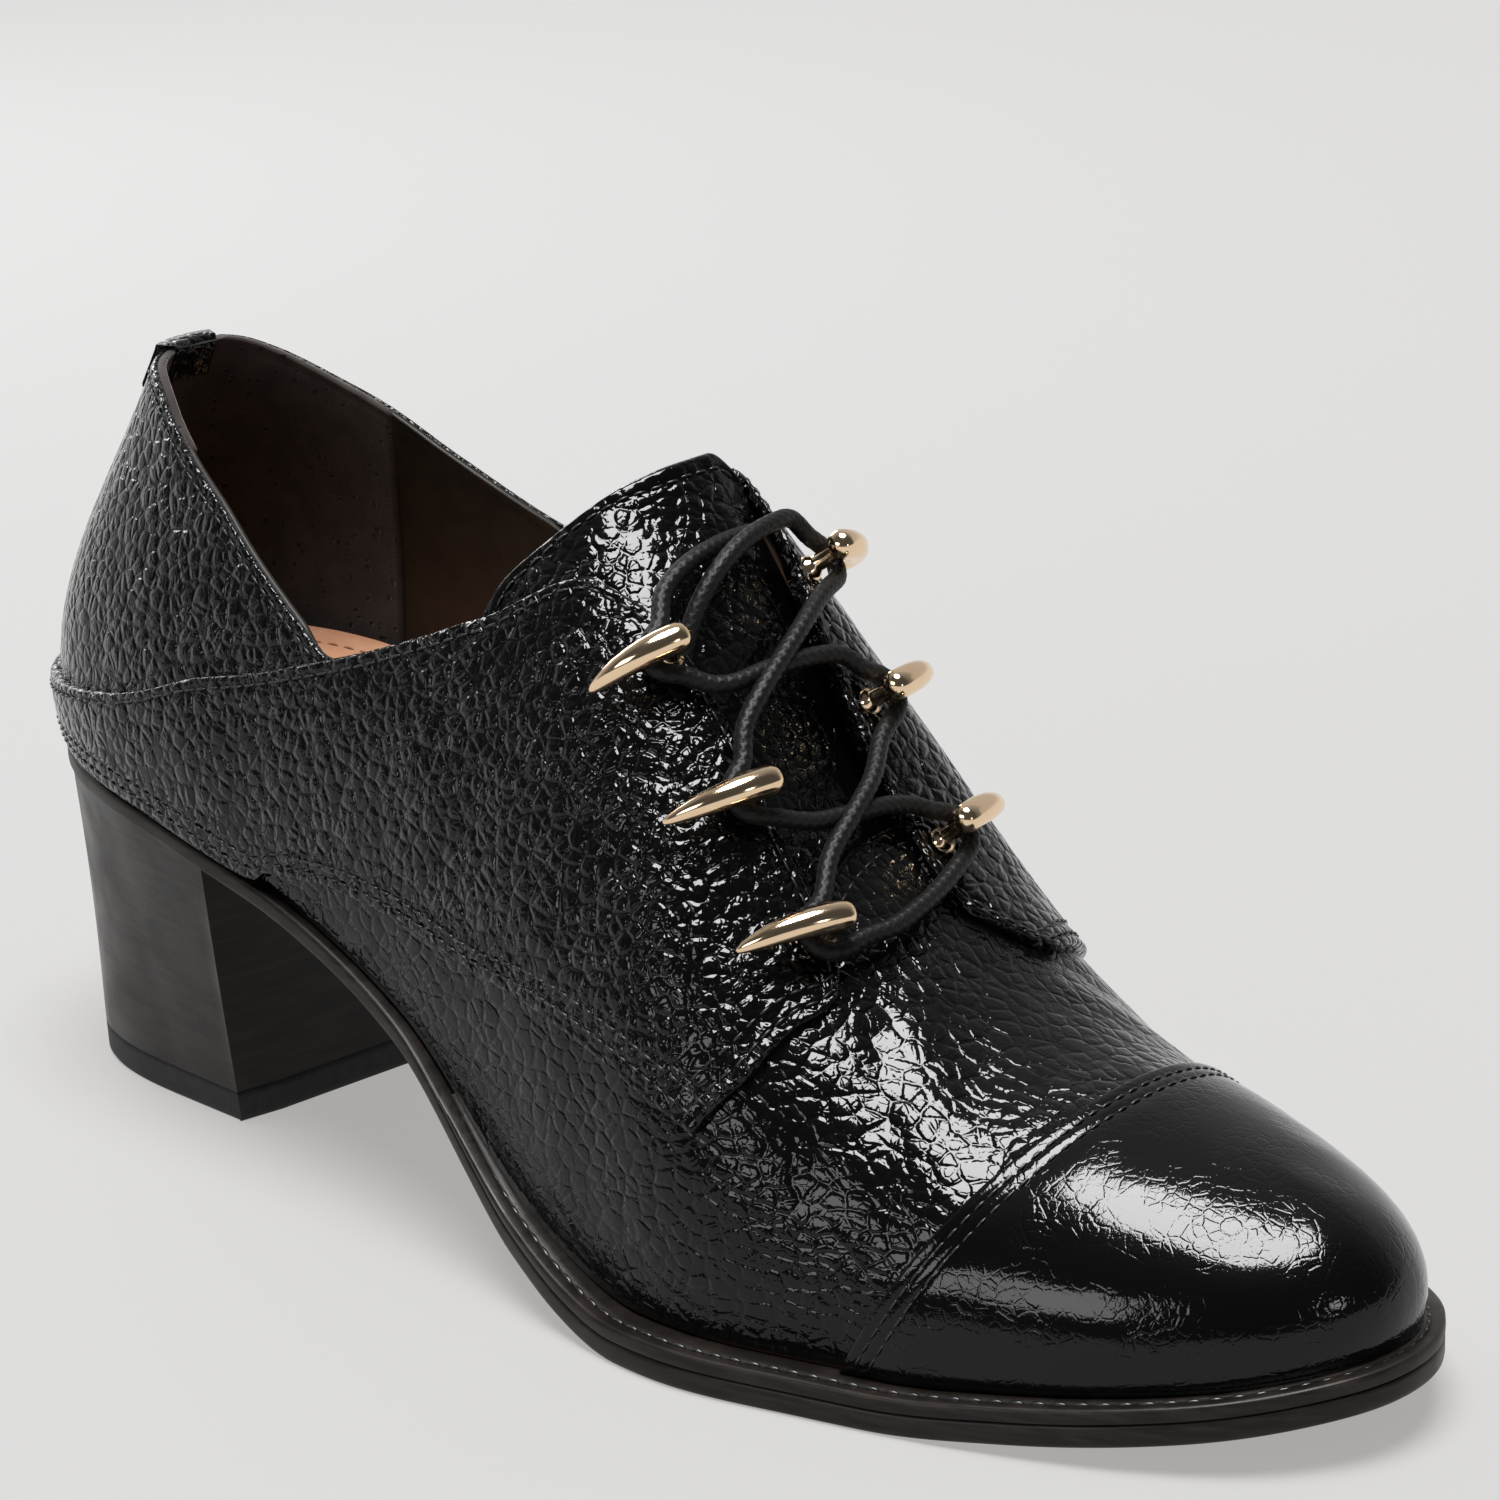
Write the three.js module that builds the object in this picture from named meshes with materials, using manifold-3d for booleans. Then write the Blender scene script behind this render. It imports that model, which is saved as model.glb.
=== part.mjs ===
// Block-heel lace-up shoe for the right foot, in millimetres.
// +X runs from heel to toe, +Y to the inner (medial) side and +Z up, with the floor at z = 0.
// The origin is on the floor, at the middle of the shoe's length and width.
import * as THREE from 'three';
import { mergeVertices } from 'three/addons/utils/BufferGeometryUtils.js';
import Module from 'manifold-3d';

const wasm = await Module();
wasm.setup();

// Driving sizes of the last and the sole
const LENGTH = 249;
const BALL_WIDTH = 85;
const HEEL_HEIGHT = 48.6;
const TOE_SPRING = 7.7;
const COLLAR_HEIGHT = 59;
const WAIST_THICK = 3.0;
const SOLE_THICK = 3.5;
const WELT_THICK = 2.0;
const WELT_LEDGE = 4.4;

// Driving sizes of the leather pieces
const WALL = 1.8;
const QUARTER_THICK = 1.4;
const CAP_THICK = 1.0;
const TONGUE_THICK = 2.0;
const TONGUE_SPRING = 4;
const INSOLE_THICK = 8;
const TAB_DROP = 6;
const TAB_THICK = 0.9;

// Driving sizes of the heel
const HEEL_BREAST = 53;
const HEEL_WIDTH = 44;
const HEEL_BACK = 5.6;
const HEEL_TURN = -3;
const LIFT_THICK = 5;

// Driving sizes of the metal hooks and the lace
const HORN_LENGTH = 17.5;
const HORN_WIDTH = 4.2;
const TIP_LIFT = 2.8;
const LEG_WIDTH = 2.6;
const PLATE_LENGTH = 9.5;
const PLATE_WIDTH = 6;
const PLATE_THICK = 0.6;
const LACE_WIDTH = 2.6;

// Clearances
const GAP = 0.3;
const TONGUE_GAP = 1.2;
const INSOLE_GAP = 0.9;
const LACE_GAP = 0.35;
const HORN_CLEAR = PLATE_THICK + LACE_WIDTH + 4.6 * LACE_GAP;

// The upper's outer face lies this far inside the last's outline, so that the layers straddle it
const UPPER_SINK = 0.8;
const BACK_OVERHANG = 1.8;
const SKIRT = 0.2;

// Mesh steps along and up the last
const STEPS_ALONG = 2;
const STEPS_UP = 8;

// Sections from the heel's back to the toe. along and topAlong are shares of LENGTH; lateral, medial,
// ridge, opening and the bulges are shares of BALL_WIDTH; inset is a share of WELT_LEDGE; top is a
// share of COLLAR_HEIGHT above the sole. rise, reach, spreads and drop shape the curve between.
const SECTIONS = [
  { along: 0.000, lateral: 0.000, medial: 0.000, inset: 0.14, topAlong: 0.068, ridge: 0.047, opening: 0.000,
    top: 1.00, bulgeLat: 0.076, bulgeMed: 0.076, rise: 0.36, reach: 0.50, spreadLat: 0.45, spreadMed: 0.45, drop: 0.34 },
  { along: 0.0145, lateral: 0.129, medial: 0.134, inset: 0.14, topAlong: 0.075, ridge: 0.047, opening: 0.082,
    top: 1.00, bulgeLat: 0.076, bulgeMed: 0.076, rise: 0.36, reach: 0.50, spreadLat: 0.45, spreadMed: 0.45, drop: 0.34 },
  { along: 0.056, lateral: 0.247, medial: 0.256, inset: 0.14, topAlong: 0.100, ridge: 0.047, opening: 0.162,
    top: 1.00, bulgeLat: 0.071, bulgeMed: 0.071, rise: 0.36, reach: 0.50, spreadLat: 0.45, spreadMed: 0.45, drop: 0.34 },
  { along: 0.120, lateral: 0.329, medial: 0.336, inset: 0.14, topAlong: 0.149, ridge: 0.047, opening: 0.229,
    top: 0.985, bulgeLat: 0.047, bulgeMed: 0.047, rise: 0.38, reach: 0.45, spreadLat: 0.45, spreadMed: 0.45, drop: 0.34 },
  { along: 0.201, lateral: 0.367, medial: 0.355, inset: 0.16, topAlong: 0.209, ridge: 0.047, opening: 0.265,
    top: 0.99, bulgeLat: 0.035, bulgeMed: 0.029, rise: 0.40, reach: 0.30, spreadLat: 0.45, spreadMed: 0.45, drop: 0.32 },
  { along: 0.289, lateral: 0.379, medial: 0.344, inset: 0.18, topAlong: 0.277, ridge: 0.047, opening: 0.276,
    top: 1.03, bulgeLat: 0.018, bulgeMed: 0.012, rise: 0.40, reach: 0.15, spreadLat: 0.45, spreadMed: 0.45, drop: 0.26 },
  { along: 0.382, lateral: 0.407, medial: 0.320, inset: 0.23, topAlong: 0.345, ridge: 0.047, opening: 0.224,
    top: 1.15, bulgeLat: 0.006, bulgeMed: 0.006, rise: 0.42, reach: 0.00, spreadLat: 0.50, spreadMed: 0.50, drop: 0.16 },
  { along: 0.474, lateral: 0.466, medial: 0.329, inset: 0.50, topAlong: 0.418, ridge: 0.047, opening: 0.118,
    top: 1.34, bulgeLat: 0.006, bulgeMed: 0.006, rise: 0.44, reach: 0.00, spreadLat: 0.55, spreadMed: 0.52, drop: 0.06 },
  { along: 0.562, lateral: 0.532, medial: 0.372, inset: 0.86, topAlong: 0.490, ridge: 0.070, opening: 0.023,
    top: 1.58, bulgeLat: 0.012, bulgeMed: 0.012, rise: 0.46, reach: 0.00, spreadLat: 0.55, spreadMed: 0.50, drop: 0.00 },
  { along: 0.651, lateral: 0.560, medial: 0.440, inset: 1.00, topAlong: 0.570, ridge: 0.047, opening: 0.000,
    top: 1.40, bulgeLat: 0.021, bulgeMed: 0.016, rise: 0.50, reach: 0.00, spreadLat: 0.55, spreadMed: 0.48, drop: 0.00 },
  { along: 0.739, lateral: 0.506, medial: 0.464, inset: 1.00, topAlong: 0.651, ridge: 0.040, opening: 0.000,
    top: 0.97, bulgeLat: 0.028, bulgeMed: 0.016, rise: 0.52, reach: 0.00, spreadLat: 0.56, spreadMed: 0.44, drop: 0.00 },
  { along: 0.823, lateral: 0.435, medial: 0.433, inset: 0.95, topAlong: 0.731, ridge: 0.031, opening: 0.000,
    top: 0.714, bulgeLat: 0.033, bulgeMed: 0.019, rise: 0.54, reach: 0.10, spreadLat: 0.58, spreadMed: 0.46, drop: 0.00 },
  { along: 0.900, lateral: 0.344, medial: 0.353, inset: 0.86, topAlong: 0.811, ridge: 0.019, opening: 0.000,
    top: 0.596, bulgeLat: 0.035, bulgeMed: 0.028, rise: 0.55, reach: 0.30, spreadLat: 0.60, spreadMed: 0.52, drop: 0.00 },
  { along: 0.956, lateral: 0.240, medial: 0.247, inset: 0.77, topAlong: 0.871, ridge: 0.009, opening: 0.000,
    top: 0.512, bulgeLat: 0.038, bulgeMed: 0.035, rise: 0.56, reach: 0.50, spreadLat: 0.60, spreadMed: 0.56, drop: 0.00 },
  { along: 0.990, lateral: 0.115, medial: 0.120, inset: 0.73, topAlong: 0.912, ridge: 0.002, opening: 0.000,
    top: 0.444, bulgeLat: 0.038, bulgeMed: 0.038, rise: 0.58, reach: 0.60, spreadLat: 0.60, spreadMed: 0.60, drop: 0.00 },
  { along: 1.000, lateral: 0.000, medial: 0.000, inset: 0.73, topAlong: 0.924, ridge: 0.000, opening: 0.000,
    top: 0.424, bulgeLat: 0.038, bulgeMed: 0.038, rise: 0.58, reach: 0.60, spreadLat: 0.60, spreadMed: 0.60, drop: 0.00 },
];
const LAST_STATION = SECTIONS.length - 1;
const MIRRORED_AT_ENDS = new Set(['lateral', 'medial', 'opening']);

// The sole's underside: shares of HEEL_HEIGHT and TOE_SPRING, and how much waist, sole and welt thickness
const SOLE_PROFILE = [
  { along: 0.00, heel: 1.000, toe: 0.00, waist: 1, sole: 0, welt: 0.0 },
  { along: 0.14, heel: 0.955, toe: 0.00, waist: 1, sole: 0, welt: 0.0 },
  { along: 0.265, heel: 0.842, toe: 0.00, waist: 1, sole: 0, welt: 0.0 },
  { along: 0.40, heel: 0.590, toe: 0.00, waist: 0.7, sole: 0.3, welt: 0.2 },
  { along: 0.52, heel: 0.150, toe: 0.00, waist: 0, sole: 1, welt: 0.75 },
  { along: 0.615, heel: 0.000, toe: 0.00, waist: 0, sole: 1, welt: 1.0 },
  { along: 0.77, heel: 0.000, toe: 0.00, waist: 0, sole: 1, welt: 1.0 },
  { along: 0.845, heel: 0.000, toe: 0.20, waist: 0, sole: 1, welt: 1.0 },
  { along: 0.925, heel: 0.000, toe: 0.55, waist: 0, sole: 1, welt: 1.0 },
  { along: 1.00, heel: 0.000, toe: 1.00, waist: 0, sole: 1, welt: 1.0 },
];

// Insole thickness at its middle and at its cupped rim, as shares of INSOLE_THICK
const INSOLE_PROFILE = [
  { along: 0.00, middle: 0.95, rim: 1.40 },
  { along: 0.25, middle: 0.90, rim: 1.30 },
  { along: 0.45, middle: 0.70, rim: 1.05 },
  { along: 0.60, middle: 0.50, rim: 0.60 },
  { along: 1.00, middle: 0.40, rim: 0.45 },
];

// The edge that frames collar and throat, as a station along the last and a share of the way up each side
const TOPLINE = [
  { lateralAt: 0.00, lateralUp: 1.000, medialAt: 0.00, medialUp: 1.000 },
  { lateralAt: 1.60, lateralUp: 0.995, medialAt: 1.10, medialUp: 0.998 },
  { lateralAt: 2.40, lateralUp: 0.980, medialAt: 1.90, medialUp: 0.962 },
  { lateralAt: 2.96, lateralUp: 0.940, medialAt: 2.60, medialUp: 0.912 },
  { lateralAt: 3.46, lateralUp: 0.890, medialAt: 3.31, medialUp: 0.850 },
  { lateralAt: 4.06, lateralUp: 0.815, medialAt: 4.00, medialUp: 0.766 },
  { lateralAt: 4.62, lateralUp: 0.710, medialAt: 4.60, medialUp: 0.702 },
  { lateralAt: 5.12, lateralUp: 0.605, medialAt: 5.10, medialUp: 0.656 },
  { lateralAt: 5.47, lateralUp: 0.535, medialAt: 5.45, medialUp: 0.632 },
  { lateralAt: 6.27, lateralUp: 0.590, medialAt: 6.30, medialUp: 0.680 },
  { lateralAt: 7.17, lateralUp: 0.655, medialAt: 7.20, medialUp: 0.752 },
  { lateralAt: 7.85, lateralUp: 0.700, medialAt: 8.05, medialUp: 0.835 },
  { lateralAt: 8.15, lateralUp: 0.745, medialAt: 8.35, medialUp: 0.900 },
];
const NOTCH_ROW = 8;

// Seams of the quarters, as station and share of the way up
const REAR_SEAM = [
  { at: 0.0, up: 0.155 }, { at: 1.2, up: 0.160 }, { at: 2.1, up: 0.180 }, { at: 3.06, up: 0.240 },
  { at: 3.61, up: 0.300 }, { at: 4.26, up: 0.405 }, { at: 5.07, up: 0.500 },
];
const WING_SEAM = [
  { at: 8.78, up: 0.240 }, { at: 8.38, up: 0.240 }, { at: 7.83, up: 0.232 }, { at: 7.32, up: 0.225 },
  { at: 6.77, up: 0.195 }, { at: 6.27, up: 0.160 }, { at: 5.77, up: 0.130 }, { at: 5.47, up: 0.105 },
  { at: 4.97, up: 0.050 }, { at: 4.62, up: 0.000 },
];
const QUARTERS = {
  lateral: {
    front: [
      { at: 10.08, up: 0.62 }, { at: 10.03, up: 0.57 }, { at: 9.88, up: 0.51 }, { at: 9.73, up: 0.44 },
      { at: 9.58, up: 0.37 }, { at: 9.40, up: 0.31 }, { at: 9.18, up: 0.24 },
    ],
    facing: [
      { at: 7.85, up: 0.700 }, { at: 8.10, up: 0.712 }, { at: 8.33, up: 0.730 }, { at: 8.60, up: 0.750 },
      { at: 8.90, up: 0.755 }, { at: 9.28, up: 0.748 }, { at: 9.60, up: 0.730 }, { at: 9.90, up: 0.708 },
      { at: 10.06, up: 0.670 }, { at: 10.10, up: 0.620 },
    ],
  },
  medial: {
    front: [
      { at: 10.56, up: 0.77 }, { at: 10.48, up: 0.69 }, { at: 10.25, up: 0.58 }, { at: 9.98, up: 0.47 },
      { at: 9.72, up: 0.38 }, { at: 9.45, up: 0.30 }, { at: 9.18, up: 0.24 },
    ],
    facing: [
      { at: 8.05, up: 0.835 }, { at: 8.40, up: 0.845 }, { at: 8.70, up: 0.885 }, { at: 9.00, up: 0.930 },
      { at: 9.40, up: 0.955 }, { at: 9.80, up: 0.960 }, { at: 10.10, up: 0.965 }, { at: 10.32, up: 0.955 },
      { at: 10.46, up: 0.900 }, { at: 10.56, up: 0.770 },
    ],
  },
};

// The vamp's throat ends here under the tongue, and its edges stay under the quarters by this much
const THROAT_END = 9.86;
const THROAT_RETREAT = 1.6;

// The toe cap's seam is a plane that leans forward going up
const CAP_SEAM_ALONG = 0.7335;
const CAP_SEAM_LEAN = 0.53;

// Tongue: top edge by share across (0 ridge, 1 side edge), its lower end under the vamp, and how far it
// reaches down each side at its top and end. Its top springs up off the last on the medial side.
const TONGUE_TOP = [
  { across: 0.0, lateral: 8.00, medial: 8.00 }, { across: 0.2, lateral: 7.90, medial: 7.98 },
  { across: 0.4, lateral: 7.55, medial: 7.97 }, { across: 0.6, lateral: 7.18, medial: 7.98 },
  { across: 0.8, lateral: 6.84, medial: 8.00 }, { across: 1.0, lateral: 6.72, medial: 8.08 },
];
const TONGUE_END = 10.75;
const TONGUE_REACH = { lateral: { top: 0.40, end: 0.30 }, medial: { top: 0.15, end: 0.24 } };
const SPRING_FROM = -0.22;
const SPRING_FULL = 0.04;
const SPRING_POWER = 8;
const TONGUE_STEPS_ACROSS = 12;
const TONGUE_STEPS_ALONG = 10;

// Hook places: station and share up of the leg, then of the horn's tip
const HOOKS = {
  lateral: [
    { at: 8.60, up: 0.715, tipAt: 8.15, tipUp: 0.580 },
    { at: 9.29, up: 0.705, tipAt: 8.84, tipUp: 0.540 },
    { at: 9.92, up: 0.680, tipAt: 9.42, tipUp: 0.500 },
  ],
  medial: [
    { at: 8.66, up: 0.835, tipAt: 8.27, tipUp: 0.660 },
    { at: 9.33, up: 0.880, tipAt: 8.96, tipUp: 0.660 },
    { at: 9.98, up: 0.880, tipAt: 9.62, tipUp: 0.650 },
  ],
};

// Basic maths
const lerp = THREE.MathUtils.lerp;
const clamp = THREE.MathUtils.clamp;
const vec = (x, y, z) => new THREE.Vector3(x, y, z);

// A section column at a station, smooth through the rows and mirrored past the heel and the toe
function section(name, station) {
  const u = clamp(station, 0, LAST_STATION);
  const i = Math.min(Math.floor(u), LAST_STATION - 1);
  const f = u - i;
  const sign = MIRRORED_AT_ENDS.has(name) ? -1 : 1;
  const before = i > 0 ? SECTIONS[i - 1][name] : sign * SECTIONS[1][name];
  const after = i + 2 <= LAST_STATION ? SECTIONS[i + 2][name] : sign * SECTIONS[LAST_STATION - 1][name];
  const start = SECTIONS[i][name];
  const end = SECTIONS[i + 1][name];
  const linear = end - before;
  const square = 2 * before - 5 * start + 4 * end - after;
  const cube = 3 * start - before - 3 * end + after;
  return 0.5 * (2 * start + linear * f + square * f * f + cube * f * f * f);
}

// A profile column at a share of the length, with no overshoot between its rows
function profile(rows, name, along) {
  const s = clamp(along, rows[0].along, rows[rows.length - 1].along);
  let i = 0;
  while (i < rows.length - 2 && s > rows[i + 1].along) i += 1;
  const slope = (k) => (rows[k + 1][name] - rows[k][name]) / (rows[k + 1].along - rows[k].along);
  const tangent = (k) => {
    if (k === 0) return slope(0);
    if (k === rows.length - 1) return slope(k - 1);
    const a = slope(k - 1);
    const b = slope(k);
    return a * b <= 0 ? 0 : (2 * a * b) / (a + b);
  };
  const step = rows[i + 1].along - rows[i].along;
  const t = (s - rows[i].along) / step;
  const h1 = t * t * (3 - 2 * t);
  const h2 = t * (1 - t) * (1 - t);
  const h3 = t * t * (t - 1);
  return rows[i][name] * (1 - h1) + rows[i + 1][name] * h1 + step * (h2 * tangent(i) + h3 * tangent(i + 1));
}

// Sole levels at a length x
function soleBottom(x) {
  const s = x / LENGTH;
  return profile(SOLE_PROFILE, 'heel', s) * HEEL_HEIGHT + profile(SOLE_PROFILE, 'toe', s) * TOE_SPRING;
}
function soleTop(x) {
  const s = x / LENGTH;
  const waist = profile(SOLE_PROFILE, 'waist', s) * WAIST_THICK;
  return soleBottom(x) + waist + profile(SOLE_PROFILE, 'sole', s) * SOLE_THICK;
}
function weltTop(x) {
  return soleTop(x) + profile(SOLE_PROFILE, 'welt', x / LENGTH) * WELT_THICK;
}

// The sole's plan outline on one side (-1 lateral, 1 medial), moved out by a distance
function outline(side, station, out = 0) {
  const width = side < 0 ? 'lateral' : 'medial';
  const place = (u) => new THREE.Vector2(section('along', u) * LENGTH, side * section(width, u) * BALL_WIDTH);
  const step = 0.01;
  const ahead = place(Math.min(station + step, LAST_STATION));
  const behind = place(Math.max(station - step, 0));
  const way = ahead.sub(behind).normalize();
  const atEnd = station <= 0 || station >= LAST_STATION;
  const normal = new THREE.Vector2(-side * way.y, side * way.x);
  if (atEnd) normal.set(station <= 0 ? -1 : 1, 0);
  return { point: place(station).addScaledVector(normal, out), normal };
}

// The four control points of the last's rib at a station, moved out by a distance
function rib(side, station, out) {
  const inset = section('inset', station) * WELT_LEDGE;
  const foot = outline(side, station, out - inset);
  const seat = weltTop(foot.point.x) + GAP + SKIRT;
  const feather = vec(foot.point.x, foot.point.y, seat);
  const topX = section('topAlong', station) * LENGTH;
  const opening = Math.max(section('opening', station), 0) * BALL_WIDTH;
  const ridge = section('ridge', station) * BALL_WIDTH;
  const heightAt = (u) => section('top', u) * COLLAR_HEIGHT + soleTop(section('topAlong', u) * LENGTH);
  const step = 0.02;
  const ahead = Math.min(station + step, LAST_STATION);
  const behind = Math.max(station - step, 0);
  const run = (section('topAlong', ahead) - section('topAlong', behind)) * LENGTH;
  const slope = (heightAt(ahead) - heightAt(behind)) / run;
  const closed = clamp(station - 7, 0, 1);
  const tilt = Math.hypot(1, slope);
  const crest = vec(-slope / tilt, 0, 1 / tilt);
  const sideways = vec(foot.normal.x, foot.normal.y, 0);
  const top = vec(topX, ridge + side * opening, heightAt(station));
  top.addScaledVector(crest, out * closed).addScaledVector(sideways, out * (1 - closed));
  const height = top.z - feather.z;
  const bulge = section(side < 0 ? 'bulgeLat' : 'bulgeMed', station) * BALL_WIDTH;
  const low = feather.clone().addScaledVector(sideways, bulge);
  low.z += section('rise', station) * height;
  const spread = section(side < 0 ? 'spreadLat' : 'spreadMed', station);
  const ahead2 = section('reach', station) * (feather.x - top.x);
  const high = top.clone();
  high.x += ahead2;
  high.y += spread * (feather.y - top.y);
  high.z += slope * closed * ahead2 - section('drop', station) * height;
  return [feather, low, high, top];
}

// A point of the last's surface: up is 0 at the feather line and 1 at the ridge or collar
function lastPoint(side, station, up, out = 0) {
  const [a, b, c, d] = rib(side, station, out);
  const v = 1 - up;
  return a.multiplyScalar(v * v * v).addScaledVector(b, 3 * up * v * v)
    .addScaledVector(c, 3 * up * up * v).addScaledVector(d, up * up * up);
}

// The surface's outward direction at a point
function lastNormal(side, station, up) {
  const step = 0.02;
  const here = lastPoint(side, station, up);
  const along = lastPoint(side, station + step, up).sub(here);
  const rise = lastPoint(side, station, up - step).sub(here).negate();
  const normal = side < 0 ? along.cross(rise) : rise.cross(along);
  return normal.normalize();
}

// Mesh and solid helpers
class Faces {
  constructor() {
    this.points = [];
    this.faces = [];
  }
  point(p) {
    this.points.push(p);
    return this.points.length - 1;
  }
  quad(a, b, c, d) {
    this.faces.push([a, b, c], [a, c, d]);
  }
  geometry() {
    const geometry = new THREE.BufferGeometry();
    const flat = this.points.flatMap((p) => [p.x, p.y, p.z]);
    geometry.setAttribute('position', new THREE.Float32BufferAttribute(flat, 3));
    geometry.setIndex(this.faces.flat());
    return geometry;
  }
}
function welded(geometry) {
  const bare = geometry.clone();
  bare.deleteAttribute('normal');
  bare.deleteAttribute('uv');
  const merged = mergeVertices(bare, 1e-3);
  const index = merged.getIndex().array;
  const kept = [];
  for (let i = 0; i < index.length; i += 3) {
    const [a, b, c] = [index[i], index[i + 1], index[i + 2]];
    if (a !== b && b !== c && c !== a) kept.push(a, b, c);
  }
  merged.setIndex(kept);
  return merged;
}
function solid(geometry) {
  const merged = welded(geometry);
  const mesh = new wasm.Mesh({
    numProp: 3,
    vertProperties: new Float32Array(merged.getAttribute('position').array),
    triVerts: new Uint32Array(merged.getIndex().array),
  });
  return new wasm.Manifold(mesh);
}
function geometryOf(body) {
  const mesh = body.getMesh();
  const geometry = new THREE.BufferGeometry();
  geometry.setAttribute('position', new THREE.Float32BufferAttribute(mesh.vertProperties, 3));
  geometry.setIndex(Array.from(mesh.triVerts));
  return geometry;
}
// A closed loft through rings of equal count, capped at both ends by the ring's own triangles
function loft(rings) {
  const faces = new Faces();
  const count = rings[0].length;
  const ids = rings.map((ring) => ring.map((p) => faces.point(p)));
  for (let i = 0; i + 1 < rings.length; i += 1) {
    for (let j = 0; j < count; j += 1) {
      const k = (j + 1) % count;
      faces.quad(ids[i][j], ids[i][k], ids[i + 1][k], ids[i + 1][j]);
    }
  }
  for (let j = 1; j + 1 < count; j += 1) {
    faces.faces.push([ids[0][0], ids[0][j + 1], ids[0][j]]);
    const end = ids[ids.length - 1];
    faces.faces.push([end[0], end[j], end[j + 1]]);
  }
  return faces.geometry();
}
// A solid with its faces pointing out, whichever way its rings were wound
function loftSolid(rings) {
  const body = solid(loft(rings));
  return body.volume() > 0 ? body : solid(loft(rings.map((ring) => ring.slice().reverse())));
}
// A closed sheet from a grid of points on two faces
function sheetSolid(outer, inner) {
  const rings = outer.map((row, i) => row.concat(inner[i].slice().reverse()));
  const faces = new Faces();
  const count = rings[0].length;
  const across = outer[0].length;
  const ids = rings.map((ring) => ring.map((p) => faces.point(p)));
  for (let i = 0; i + 1 < rings.length; i += 1) {
    for (let j = 0; j < count; j += 1) {
      const k = (j + 1) % count;
      faces.quad(ids[i][j], ids[i][k], ids[i + 1][k], ids[i + 1][j]);
    }
  }
  const first = ids[0];
  const last = ids[ids.length - 1];
  for (let j = 0; j + 1 < across; j += 1) {
    faces.quad(first[j + 1], first[j], first[count - 1 - j], first[count - 2 - j]);
    faces.quad(last[j], last[j + 1], last[count - 2 - j], last[count - 1 - j]);
  }
  const body = solid(faces.geometry());
  if (body.volume() > 0) return body;
  faces.faces = faces.faces.map(([a, b, c]) => [a, c, b]);
  return solid(faces.geometry());
}
// A prism across the shoe from a side view outline, or upright from a plan outline
function sidePrism(points, from, to) {
  const shape = new THREE.Shape(points.map(([x, z]) => new THREE.Vector2(x, z)));
  const geometry = new THREE.ExtrudeGeometry(shape, { depth: to - from, bevelEnabled: false, steps: 1 });
  geometry.rotateX(Math.PI / 2);
  geometry.translate(0, to, 0);
  return solid(geometry);
}
function planPrism(points, from, to) {
  const shape = new THREE.Shape(points.map(([x, y]) => new THREE.Vector2(x, y)));
  const geometry = new THREE.ExtrudeGeometry(shape, { depth: to - from, bevelEnabled: false, steps: 1 });
  geometry.translate(0, 0, from);
  return solid(geometry);
}

// The solid last, moved out by a distance, its foot at a given drop below the sole's top
function lastSolid(out, below = -GAP) {
  const faces = new Faces();
  const stations = [];
  for (let i = 0; i <= LAST_STATION * STEPS_ALONG; i += 1) stations.push(i / STEPS_ALONG);
  const ribs = {};
  for (const side of [-1, 1]) {
    ribs[side] = stations.map((u) => {
      const row = [];
      const foot = lastPoint(side, u, 0, out);
      row.push(faces.point(vec(foot.x, foot.y, soleTop(foot.x) - below)));
      for (let j = 0; j <= STEPS_UP; j += 1) row.push(faces.point(lastPoint(side, u, j / STEPS_UP, out)));
      return row;
    });
  }
  const rows = STEPS_UP + 1;
  for (let i = 0; i + 1 < stations.length; i += 1) {
    const [l0, l1, m0, m1] = [ribs[-1][i], ribs[-1][i + 1], ribs[1][i], ribs[1][i + 1]];
    for (let j = 0; j < rows; j += 1) {
      faces.quad(l0[j], l1[j], l1[j + 1], l0[j + 1]);
      faces.quad(m1[j], m0[j], m0[j + 1], m1[j + 1]);
    }
    faces.quad(l0[rows], l1[rows], m1[rows], m0[rows]);
    faces.quad(l1[0], l0[0], m0[0], m1[0]);
  }
  return solid(faces.geometry());
}

// Far limits for the cutting prisms
const FAR = LENGTH;
const OUTER = -UPPER_SINK;
const INNER = OUTER - WALL;
const BELOW_SOLE = HEEL_HEIGHT / 4;

// Everything above the collar's edge
function collarCut() {
  const spread = BALL_WIDTH / 3;
  const rows = TOPLINE.map((row) => {
    const lateral = lastPoint(-1, row.lateralAt, row.lateralUp);
    const medial = lastPoint(1, row.medialAt, row.medialUp);
    const way = lateral.clone().sub(medial).setZ(0);
    if (way.length() < 1) way.set(0, -1, 0);
    way.normalize();
    return [lateral.addScaledVector(way, spread), medial.addScaledVector(way, -spread)];
  });
  const back = rows[0].map((p) => p.clone().setX(p.x - spread));
  const rings = [back, ...rows].map(([lateral, medial]) => [
    lateral, medial, medial.clone().setZ(FAR), lateral.clone().setZ(FAR),
  ]);
  return loftSolid(rings);
}

// The plan outline of a facing edge, moved towards the side by a distance
function facingLine(side, rows, retreat = 0) {
  return rows.map(({ at, up }) => {
    const p = lastPoint(side, at, up);
    return [p.x, p.y + side * retreat];
  });
}

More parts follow.
